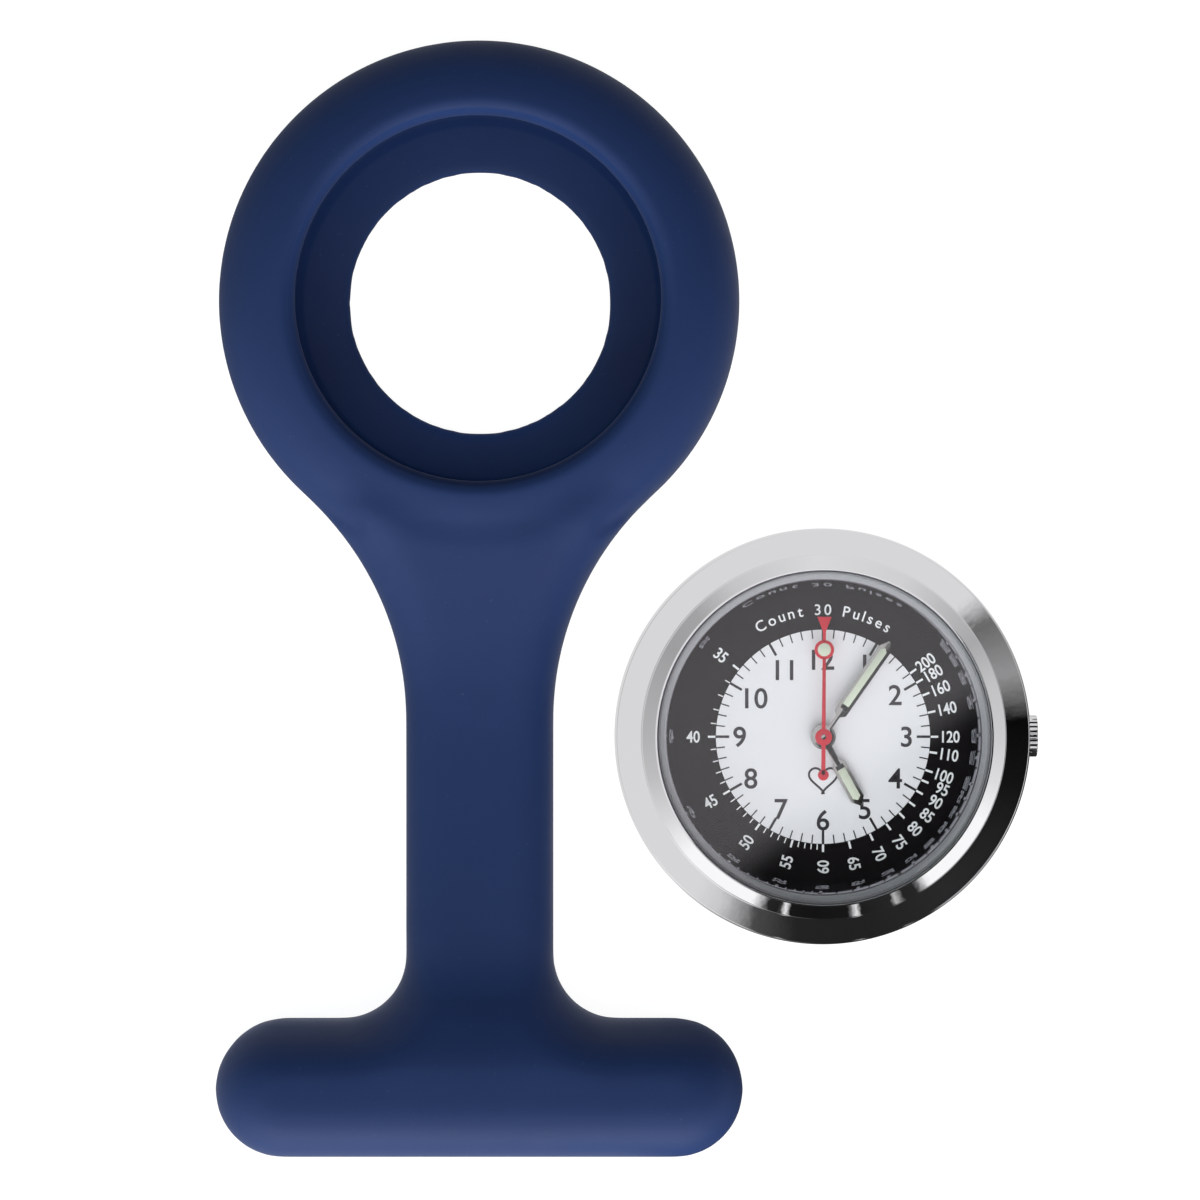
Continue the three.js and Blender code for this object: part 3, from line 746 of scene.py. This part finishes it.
def tick(angle, inner, outer, width, low):
    """One printed mark that points at the centre."""
    outline = [(-width / 2, inner), (width / 2, inner), (width / 2, outer), (-width / 2, outer)]
    return plate("tick", outline, low, low + INK, 0, HEAD, angle)


CAP_HEIGHT = 0.69
# How heavy the lettering is and how wide.
HOUR_LOOK = (0.012, 1.0)
PULSE_LOOK = (0.018, 0.84)
NOTE_LOOK = (0.01, 1.0)


def printed(text, height, weight=0.0, squeeze=1.0):
    """Flat lettering of a cap height in millimetres, as a thin solid, and its width."""
    deselect()
    bpy.ops.object.text_add()
    obj = bpy.context.object
    obj.data.body = text
    obj.data.align_x = "CENTER"
    obj.data.size = 1
    obj.data.offset = weight
    obj.data.extrude = 0.01
    obj.data.resolution_u = 6
    bpy.ops.object.convert(target="MESH")
    obj = bpy.context.object
    low = min(v.co.x for v in obj.data.vertices)
    high = max(v.co.x for v in obj.data.vertices)
    share = height * MM / CAP_HEIGHT
    for corner in obj.data.vertices:
        corner.co.x = (corner.co.x - (low + high) / 2) * share * squeeze
        corner.co.y = (corner.co.y - CAP_HEIGHT / 2) * share
        corner.co.z = INK * MM if corner.co.z > 0 else 0.0
    return obj, (high - low) * share * squeeze / MM


def put(obj, centre, turn, height):
    """Turns a flat mesh by turn degrees and moves it to a centre on the dial."""
    pick(obj)
    obj.location = (centre.x, centre.y, height * MM)
    obj.rotation_euler = (0, 0, math.radians(turn))
    bpy.ops.object.transform_apply(location=True, rotation=True, scale=True)
    return obj


PULSES_FROM = [65, 70, 75, 80, 85, 90, 95, 100, 110, 120, 140, 160, 180, 200]
PULSE_NUMERALS = [35, 40, 45, 50, 55, 60] + PULSES_FROM
# Where a mark starts or ends and its width, long and short, in millimetres.
LONG_MINUTE, SHORT_MINUTE = (7.42, 0.2), (7.8, 0.1)
LONG_PULSE, SHORT_PULSE = (9.12, 0.17), (8.95, 0.09)
HOUR_RADIUS, WIDE_HOUR_RADIUS = 6.6, 6.1
NUMERAL_EDGE = 10.82
NOTE_RADIUS, NOTE_GAP, WORD_GAP = 10.07, 0.3, 0.36


def pulse_angle(beats):
    """Where a pulse rate stands, clockwise from twelve, when thirty beats are counted."""
    return 30 * 360 / beats


class FOBWATCH_OT_ticks(bpy.types.Operator):
    """Print the minute marks and the pulse marks"""

    bl_idname = "fobwatch.ticks"
    bl_label = "Dial Marks"

    def execute(self, context):
        black = soft_finish("black_ink", (34, 31, 38), 0.5)
        white = soft_finish("white_ink", (236, 236, 240), 0.5)
        minutes = []
        for k in range(60):
            inner, width = LONG_MINUTE if k % 5 == 0 else SHORT_MINUTE
            minutes.append(tick(6 * k, inner, WHITE_RADIUS, width, DIAL_TOP + 0.001))
        finish_piece(joined("minute_marks", minutes), "head", black)
        top = DIAL_TOP + INK
        pulses = []
        for beats in list(range(35, 61)) + PULSES_FROM:
            outer, width = LONG_PULSE if beats % 5 == 0 else SHORT_PULSE
            pulses.append(tick(pulse_angle(beats), WHITE_RADIUS + 0.04, outer, width, top))
        finish_piece(joined("pulse_marks", pulses), "head", white)
        return {"FINISHED"}


class FOBWATCH_OT_numerals(bpy.types.Operator):
    """Print the hour numerals, pulse numerals, the note over twelve and a small heart"""

    bl_idname = "fobwatch.numerals"
    bl_label = "Dial Numerals"

    def execute(self, context):
        sizes = context.scene.fob_watch
        black = soft_finish("numeral_ink", (42, 38, 46), 0.5)
        white = soft_finish("scale_ink", (236, 236, 240), 0.5)
        hours = []
        for hour in range(1, 13):
            obj, _ = printed(str(hour), sizes.hour_height, *HOUR_LOOK)
            radius = WIDE_HOUR_RADIUS if hour in (10, 11, 12) else HOUR_RADIUS
            hours.append(put(obj, at(HEAD, 0, radius, 0, 30 * hour), 0, DIAL_TOP))
        finish_piece(joined("hour_numerals", hours), "head", black)
        top = DIAL_TOP + INK
        rates = []
        for beats in PULSE_NUMERALS:
            obj, width = printed(str(beats), sizes.pulse_height, *PULSE_LOOK)
            angle = pulse_angle(beats)
            turn = (90 if beats > 60 else 270) - angle
            rates.append(put(obj, at(HEAD, 0, NUMERAL_EDGE - width / 2, 0, angle), turn, top))
        finish_piece(joined("pulse_numerals", rates), "head", white)
        note = arc_note("Count 30 Pulses", NOTE_RADIUS, sizes.note_height, NOTE_GAP, top)
        finish_piece(joined("pulse_note", note), "head", white)
        finish_piece(heart_mark(), "head", black)
        return {"FINISHED"}


def arc_note(text, radius, height, gap, level):
    """Letters round the top of the dial, evenly spaced by their widths."""
    space = (None, WORD_GAP)
    letters = [space if letter == " " else printed(letter, height, *NOTE_LOOK) for letter in text]
    length = sum(width for _, width in letters) + gap * (len(letters) - 1)
    reach = -length / 2
    made = []
    for obj, width in letters:
        angle = math.degrees((reach + width / 2) / radius)
        reach += width + gap
        if obj:
            made.append(put(obj, at(HEAD, 0, radius, 0, angle), -angle, level))
    return made


HEART_CORNERS = 56
HEART_SIZE, HEART_DROP, HEART_LINE = 0.075, 3.3, 0.17


def heart_mark():
    """A small heart outline under the centre."""
    outline = []
    for k in range(HEART_CORNERS):
        turn = FULL_TURN * k / HEART_CORNERS
        x = 16 * math.sin(turn) ** 3
        y = 13 * math.cos(turn) - 5 * math.cos(2 * turn) - 2 * math.cos(3 * turn) - math.cos(4 * turn)
        outline.append((x * HEART_SIZE, y * HEART_SIZE - HEART_DROP))
    obj = ring_of_corners("heart_mark", [at(HEAD, x, y, DIAL_TOP) for x, y in outline], True)
    edit_all(obj)
    bpy.ops.mesh.inset(thickness=HEART_LINE * MM, use_even_offset=False)
    bpy.ops.mesh.delete(type="FACE")
    bpy.ops.object.mode_set(mode="OBJECT")
    extrude(obj, (0, 0, INK * MM))
    return obj


# ---------------------------------------------------------------- hands


def hand_angle(node, centre):
    """Which way a hand points, in degrees clockwise from twelve, from its solid's far corner."""
    corners = [v.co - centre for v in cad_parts[node].data.vertices]
    reach = max(math.hypot(co.x, co.y) for co in corners)
    tips = [co for co in corners if math.hypot(co.x, co.y) > 0.99 * reach]
    return math.degrees(math.atan2(sum(co.x for co in tips), sum(co.y for co in tips)))


def disc(radius, y=0.0, sides=40):
    """A round outline."""
    return arc(0, y, radius, 0, 360 - 360 / sides, sides - 1)


# Boss radius, half widths of the neck and blade, then where the blade starts, shoulders and ends.
HOUR_BLADE = (1.0, 0.25, 0.58, 2.2, 5.6, 6.2)
MINUTE_BLADE = (0.9, 0.18, 0.54, 2.0, 8.5, 9.2)
# Where the fill starts and ends, and its half width.
HOUR_FILL = (2.9, 5.45, 0.33)
MINUTE_FILL = (3.05, 8.3, 0.275)
HAND_THICKNESS = 0.15
FILL_POINT, FOOT_LENGTH = 0.25, 0.35
HOUR_LOW, MINUTE_LOW = 5.8, 6.15
SECOND_LOW, SECOND_HIGH = 6.5, 6.62
SECOND_STEM = [(-0.17, -3), (0.17, -3), (0.13, 6.3), (-0.13, 6.3)]
SECOND_POINTER = [(-0.12, 7.5), (0.12, 7.5), (0.12, 8.35), (0.57, 9.5), (-0.57, 9.5), (-0.12, 8.35)]
LOOP_PLACE, TAIL_PLACE = 6.9, -3
LOOP_RADIUS, LOOP_FILL, TAIL_RADIUS, HUB_RADIUS = 0.77, 0.52, 0.43, 0.67


class FOBWATCH_OT_hands(bpy.types.Operator):
    """Model the hour, minute and second hands"""

    bl_idname = "fobwatch.hands"
    bl_label = "Hands"

    def execute(self, context):
        sizes = context.scene.fob_watch
        steel = metal_finish("polished_hand", (190, 188, 186), 0.05, None, 0.5, 0.001)
        lume = soft_finish("pale_lume", (202, 208, 192), 0.6, 0.12, 0.006, 0.05, 0.2)
        dark = soft_finish("dark_fill", (28, 28, 32), 0.4)
        red = soft_finish("red_lacquer", tuple(255 * c for c in sizes.hand_colour), 0.28, 0.4, 0.001)
        finishes = (steel, lume, dark)
        self.broad_hand("hour_hand", "hours", HOUR_LOW, HOUR_BLADE, HOUR_FILL, finishes)
        self.broad_hand("minute_hand", "minutes", MINUTE_LOW, MINUTE_BLADE, MINUTE_FILL, finishes)
        self.second_hand(red, lume, steel)
        return {"FINISHED"}

    def broad_hand(self, node, body, low, sizes, fill, finishes):
        """A round boss, a narrow neck and a broad filled blade."""
        steel, lume, dark = finishes
        boss, neck, half, start, shoulder, tip = sizes
        first, last, half_fill = fill
        angle = hand_angle(node, HEAD)
        rise = math.asin(neck / boss)
        round_part = arc(0, 0, boss, 90 + math.degrees(rise), 450 - math.degrees(rise), 36)
        outline = round_part + [(neck, start), (half, start + 0.3), (half, shoulder), (0.08, tip)]
        outline += [(-0.08, tip), (-half, shoulder), (-half, start + 0.3), (-neck, start)]
        blade = plate(node + "_blade", outline, low, low + HAND_THICKNESS, 0.07, HEAD, angle)
        finish_piece(blade, body, steel, [node])
        top = low + HAND_THICKNESS
        strip = [(-half_fill, first), (half_fill, first), (half_fill, last), (0, last + FILL_POINT)]
        strip.append((-half_fill, last))
        inlay = plate(node + "_fill", strip, top - 0.05, top + 0.025, 0.02, HEAD, angle)
        finish_piece(inlay, body, lume)
        foot_start = first - FOOT_LENGTH
        block = [(-half_fill, foot_start), (half_fill, foot_start), (half_fill, first), (-half_fill, first)]
        foot = plate(node + "_foot", block, top - 0.05, top + 0.015, 0.01, HEAD, angle)
        finish_piece(foot, body, dark)

    def second_hand(self, red, lume, steel):
        """A slim red hand with a ring near its tip and a tail disc."""
        angle = hand_angle("second_hand", HEAD)
        low, high = SECOND_LOW, SECOND_HIGH
        parts = [
            plate("stem", SECOND_STEM, low, high, 0.03, HEAD, angle),
            plate("pointer", SECOND_POINTER, low, high, 0.03, HEAD, angle),
            plate("tail", disc(TAIL_RADIUS, TAIL_PLACE), low, high, 0.03, HEAD, angle),
            plate("hub", disc(HUB_RADIUS), low, high + 0.03, 0.05, HEAD, angle),
            plate("loop", disc(LOOP_RADIUS, LOOP_PLACE, 48), low, high, 0.03, HEAD, angle),
        ]
        finish_piece(joined("second_hand_red", parts), "seconds", red, ["second_hand"])
        middle = disc(LOOP_FILL, LOOP_PLACE)
        fill = plate("second_hand_fill", middle, high - 0.02, high + 0.02, 0.015, HEAD, angle)
        finish_piece(fill, "seconds", lume)
        pin = plate("second_hand_pin", disc(0.2), high + 0.01, high + 0.13, 0.02, HEAD, angle)
        finish_piece(pin, "seconds", steel)


# ---------------------------------------------------------------- hidden parts

HIDDEN_FINISHES = {
    "silicone": ("silicone_inner", (30, 42, 76), 0.6),
    "seal": ("seal_rubber", (24, 24, 26), 0.65),
    "nylon": ("pale_nylon", (214, 212, 204), 0.5),
    "board": ("circuit_board", (30, 84, 58), 0.45),
    "dial": ("pale_paint", (225, 225, 228), 0.45),
    "red": ("red_paint", (190, 30, 50), 0.35),
    "glass": ("quartz_glass", (200, 205, 210), 0.1),
}
HIDDEN_METALS = {
    "chrome": ("plated_part", (232, 232, 236), 0.08),
    "steel": ("fine_steel", (190, 190, 196), 0.22),
    "brass": ("rolled_brass", (206, 168, 92), 0.28),
    "copper": ("copper_wire", (196, 112, 66), 0.3),
}


class FOBWATCH_OT_hidden(bpy.types.Operator):
    """Give the brooch, back and movement parts their finishes"""

    bl_idname = "fobwatch.hidden"
    bl_label = "Inner Parts"

    def execute(self, context):
        made = {}
        for slot, (name, tone, roughness) in HIDDEN_FINISHES.items():
            made[slot] = soft_finish(name, tone, roughness, 0.9, 0.006)
        for slot, (name, tone, roughness) in HIDDEN_METALS.items():
            made[slot] = metal_finish(name, tone, roughness, (1, 9, 1), 1.4, 0.004)
        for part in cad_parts.values():
            slot = part.data.materials[0].name.split(".")[0]
            part.data.materials.clear()
            part.data.materials.append(made[slot])
        return {"FINISHED"}


# ---------------------------------------------------------------- stage

# What polished metal mirrors: rows of (degrees clockwise from twelve, screen level).
HORIZON = [
    (0, 223), (30, 214), (45, 193), (60, 173), (75, 200), (92, 210), (106, 228), (118, 255), (143, 255),
    (147, 40), (153, 36), (154, 255), (155.3, 40), (166.5, 30), (167.5, 250), (169, 24), (180, 20), (189, 24),
    (190, 255), (191.3, 26), (196, 40), (201, 255), (226, 255), (240, 220), (255, 195), (270, 182),
    (300, 163), (315, 168), (330, 202), (360, 223),
]
SURROUND = [
    (0, 221), (50, 221), (58, 105), (74, 150), (87, 10), (105, 20), (120, 34), (140, 42), (165, 34),
    (185, 36), (197, 75), (208, 205), (216, 221), (360, 221),
]
FLOOR_MIRRORED = [
    (0, 222), (45, 225), (70, 150), (90, 50), (120, 34), (180, 44), (205, 150), (225, 225), (270, 220),
    (360, 222),
]


def ramp_stops(rows):
    """Ramp stops from rows of (degrees clockwise from twelve, screen level)."""
    return [(degrees / 360, linear(level)) for degrees, level in rows]


# Heights of the view, 0 level and 1 straight up, where one mirrored wall gives way to the next.
HORIZON_TOP, CEILING_START = (0.18, 0.34), (0.88, 0.96)
CEILING_LINE = (0.064, 0.054)
CEILING_DARK, CEILING_PALE = (0.01, 0.01, 0.012, 1), (0.9, 0.86, 0.9, 1)
STAGE_SLOPE = 1.9
WARM_LIGHT, COOL_LIGHT = (3, 3, 3, 1), (2.1, 3.6, 3.3, 1)
COOL_CORNER = (0.1, 0.9)


def studio_world():
    """Soft studio surroundings, and for polished metal the dark and light walls that it mirrors."""
    world = bpy.data.worlds.new("studio")
    world.use_nodes = True
    bpy.context.scene.world = world
    board = Board(world.node_tree)
    ray = board.node("ShaderNodeLightPath")
    split = board.node("ShaderNodeSeparateXYZ", None, {0: board.value("ShaderNodeTexCoord", "Generated")})
    x, y, z = (Value(board, output) for output in split.outputs)
    turn = board.math("FRACT", board.math("ARCTAN2", x, y) / FULL_TURN + 1)
    horizon = board.value("ShaderNodeValToRGB", 0, {"stops": ramp_stops(HORIZON)}, {0: turn})
    surround = board.value("ShaderNodeValToRGB", 0, {"stops": ramp_stops(SURROUND)}, {0: turn})
    ceiling_edge = board.ease(x * 0.58 - y * 0.81, *CEILING_LINE)
    ceiling = board.mix(ceiling_edge, CEILING_DARK, CEILING_PALE)
    mirrored = board.mix(board.ease(z, *HORIZON_TOP), horizon, surround)
    mirrored = board.mix(board.ease(z, *CEILING_START), mirrored, ceiling)
    slope = board.math("MAXIMUM", 1.0 - y * STAGE_SLOPE, 0.02)
    corner = board.ease(y * 0.7 - x * 0.7, *COOL_CORNER)
    tint = board.mix(corner, WARM_LIGHT, COOL_LIGHT)
    soft = board.mix(slope / 3, (0, 0, 0, 1), tint)
    seen = board.mix(Value(board, ray.outputs["Is Glossy Ray"]), soft, mirrored)
    seen = board.mix(Value(board, ray.outputs["Is Camera Ray"]), seen, (1, 1, 1, 1))
    back = board.value("ShaderNodeBackground", 0, None, {"Color": seen, "Strength": 1.0})
    board.node("ShaderNodeOutputWorld", None, {"Surface": back})


FLOOR_SIZE = 6
FLOOR_DROP = 0.00002
FLOOR_GLOW = (0.93, 0.93, 0.93, 1)
FLOOR_PAPER = (0.2, 0.2, 0.2, 1)
NEAR_FLOOR, FAR_FLOOR = 26, 46
FLOOR_LIGHT, LIGHT_BY_Y, LIGHT_BY_X = 1.2, 18, 9
LAMP_PLACE, LAMP_TILT = (0.02, -0.36, 0.2), 60
SHEEN_PLACE, SHEEN_TILT = (-0.03, -0.4, 0.08), 79
CAMERA_HEIGHT = 0.4013
CAMERA_X = -0.00208
CAMERA_Y = -0.0001


class FOBWATCH_OT_stage(bpy.types.Operator):
    """Set the pale floor, the soft light and the camera"""

    bl_idname = "fobwatch.stage"
    bl_label = "Stage"

    def execute(self, context):
        deselect()
        bpy.ops.mesh.primitive_plane_add(size=FLOOR_SIZE, location=(0, 0, -FLOOR_DROP))
        floor = context.object
        floor.name = "floor"
        material, board = new_finish("white_floor")
        ray = board.node("ShaderNodeLightPath")
        split = board.node("ShaderNodeSeparateXYZ", None, {0: board.place()})
        x, y = (Value(board, output) for output in split.outputs[:2])
        turn = board.math("FRACT", board.math("ARCTAN2", x - HEAD.x, y - HEAD.y) / FULL_TURN + 1)
        near = board.value("ShaderNodeValToRGB", 0, {"stops": ramp_stops(FLOOR_MIRRORED)}, {0: turn})
        far = board.value("ShaderNodeValToRGB", 0, {"stops": ramp_stops(HORIZON)}, {0: turn})
        wall = board.mix(board.ease(board.radius(HEAD), NEAR_FLOOR, FAR_FLOOR), near, far)
        lift = board.math("MAXIMUM", FLOOR_LIGHT - y * LIGHT_BY_Y - x * LIGHT_BY_X, 0.05) / 2
        bounce = board.mix(lift, (0, 0, 0, 1), (2, 2, 2, 1))
        seen = board.mix(Value(board, ray.outputs["Is Glossy Ray"]), bounce, wall)
        cast = board.value("ShaderNodeEmission", 0, None, {"Color": seen, "Strength": 1.0})
        glow = board.value("ShaderNodeEmission", 0, None, {"Color": FLOOR_GLOW, "Strength": 1.0})
        paper = board.value("ShaderNodeBsdfDiffuse", 0, None, {"Color": FLOOR_PAPER})
        lit = board.value("ShaderNodeAddShader", 0, None, {0: glow, 1: paper})
        camera_ray = Value(board, ray.outputs["Is Camera Ray"])
        both = board.value("ShaderNodeMixShader", 0, None, {0: camera_ray, 1: cast, 2: lit})
        board.node("ShaderNodeOutputMaterial", None, {"Surface": both})
        floor.data.materials.append(material)
        studio_world()
        tilt = (math.radians(LAMP_TILT), 0, 0)
        bpy.ops.object.light_add(type="AREA", location=LAMP_PLACE, rotation=tilt)
        lamp = context.object
        lamp.name = "front_softbox"
        lamp.data.size = 0.35
        lamp.data.energy = context.scene.fob_watch.lamp_power
        lamp.visible_glossy = False
        self.holder_lamp(context)
        bpy.ops.object.camera_add(location=(CAMERA_X, CAMERA_Y, CAMERA_HEIGHT), rotation=(0, 0, 0))
        camera = context.object
        camera.name = "camera"
        camera.data.lens = 150
        camera.data.sensor_width = 36
        camera.data.clip_start = 0.01
        camera.data.clip_end = 20
        camera.data.dof.use_dof = False
        context.scene.camera = camera
        context.scene.view_settings.view_transform = "Standard"
        return {"FINISHED"}

    def holder_lamp(self, context):
        """A low lamp that lights only the holder and lays a soft sheen on its edges."""
        tilt = (math.radians(SHEEN_TILT), 0, 0)
        bpy.ops.object.light_add(type="AREA", location=SHEEN_PLACE, rotation=tilt)
        lamp = context.object
        lamp.name = "holder_softbox"
        lamp.data.shape = "RECTANGLE"
        lamp.data.size = 0.5
        lamp.data.size_y = 0.16
        lamp.data.energy = context.scene.fob_watch.sheen_power
        lit = bpy.data.collections.new("lit_by_holder_softbox")
        lit.objects.link(bpy.data.objects["holder_moulding"])
        lamp.light_linking.receiver_collection = lit


# ---------------------------------------------------------------- the add-on's settings and panel


NAVY = (0.0048, 0.0188, 0.0795)
SIGNAL_RED = (0.78, 0.06, 0.17)


class FobWatchSettings(bpy.types.PropertyGroup):
    """Sizes and colours of the fob watch"""

    holder_grid: bpy.props.FloatProperty(
        name="Holder Grid", description="Mesh size of the holder, in millimetres", default=0.32, min=0.2
    )
    holder_softening: bpy.props.IntProperty(
        name="Holder Softening", description="How much the holder's edges are rounded", default=14, min=0
    )
    hour_height: bpy.props.FloatProperty(
        name="Hour Height", description="Hour numerals, in millimetres", default=1.55
    )
    pulse_height: bpy.props.FloatProperty(
        name="Pulse Height", description="Pulse numerals, in millimetres", default=0.88
    )
    note_height: bpy.props.FloatProperty(
        name="Note Height", description="Note over twelve, in millimetres", default=0.83
    )
    lamp_power: bpy.props.FloatProperty(name="Lamp Power", description="Soft lamp, in watts", default=0.6)
    sheen_power: bpy.props.FloatProperty(
        name="Sheen Power", description="Low lamp on the holder, in watts", default=1.1
    )
    silicone_colour: bpy.props.FloatVectorProperty(
        name="Silicone", description="Colour of the holder", subtype="COLOR", default=NAVY
    )
    dial_colour: bpy.props.FloatVectorProperty(
        name="Dial", description="Colour of the dial's centre", subtype="COLOR", default=(0.8, 0.79, 0.83)
    )
    hand_colour: bpy.props.FloatVectorProperty(
        name="Second Hand", description="Second hand, as shares of full screen level", default=SIGNAL_RED
    )


OPERATORS = (
    FOBWATCH_OT_hidden,
    FOBWATCH_OT_holder,
    FOBWATCH_OT_case,
    FOBWATCH_OT_glass,
    FOBWATCH_OT_dial,
    FOBWATCH_OT_ticks,
    FOBWATCH_OT_numerals,
    FOBWATCH_OT_hands,
    FOBWATCH_OT_stage,
)


class FOBWATCH_PT_panel(bpy.types.Panel):
    """Lists the steps that model the fob watch"""

    bl_label = "Fob Watch"
    bl_idname = "FOBWATCH_PT_panel"
    bl_space_type = "VIEW_3D"
    bl_region_type = "UI"
    bl_category = "Fob Watch"

    def draw(self, context):
        settings = context.scene.fob_watch
        for name in settings.bl_rna.properties.keys():
            if name not in ("rna_type", "name"):
                self.layout.prop(settings, name)
        for step in OPERATORS:
            self.layout.operator(step.bl_idname)


CLASSES = (FobWatchSettings,) + OPERATORS + (FOBWATCH_PT_panel,)


def register():
    """Adds the classes and the scene's settings."""
    for part in CLASSES:
        bpy.utils.register_class(part)
    bpy.types.Scene.fob_watch = bpy.props.PointerProperty(type=FobWatchSettings)


def unregister():
    """Takes them away again."""
    del bpy.types.Scene.fob_watch
    for part in reversed(CLASSES):
        bpy.utils.unregister_class(part)


def main():
    """Registers the add-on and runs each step."""
    register()
    bpy.ops.fobwatch.hidden()
    bpy.ops.fobwatch.holder()
    bpy.ops.fobwatch.case()
    bpy.ops.fobwatch.glass()
    bpy.ops.fobwatch.dial()
    bpy.ops.fobwatch.ticks()
    bpy.ops.fobwatch.numerals()
    bpy.ops.fobwatch.hands()
    bpy.ops.fobwatch.stage()
    deselect()


if __name__ == "__main__":
    main()
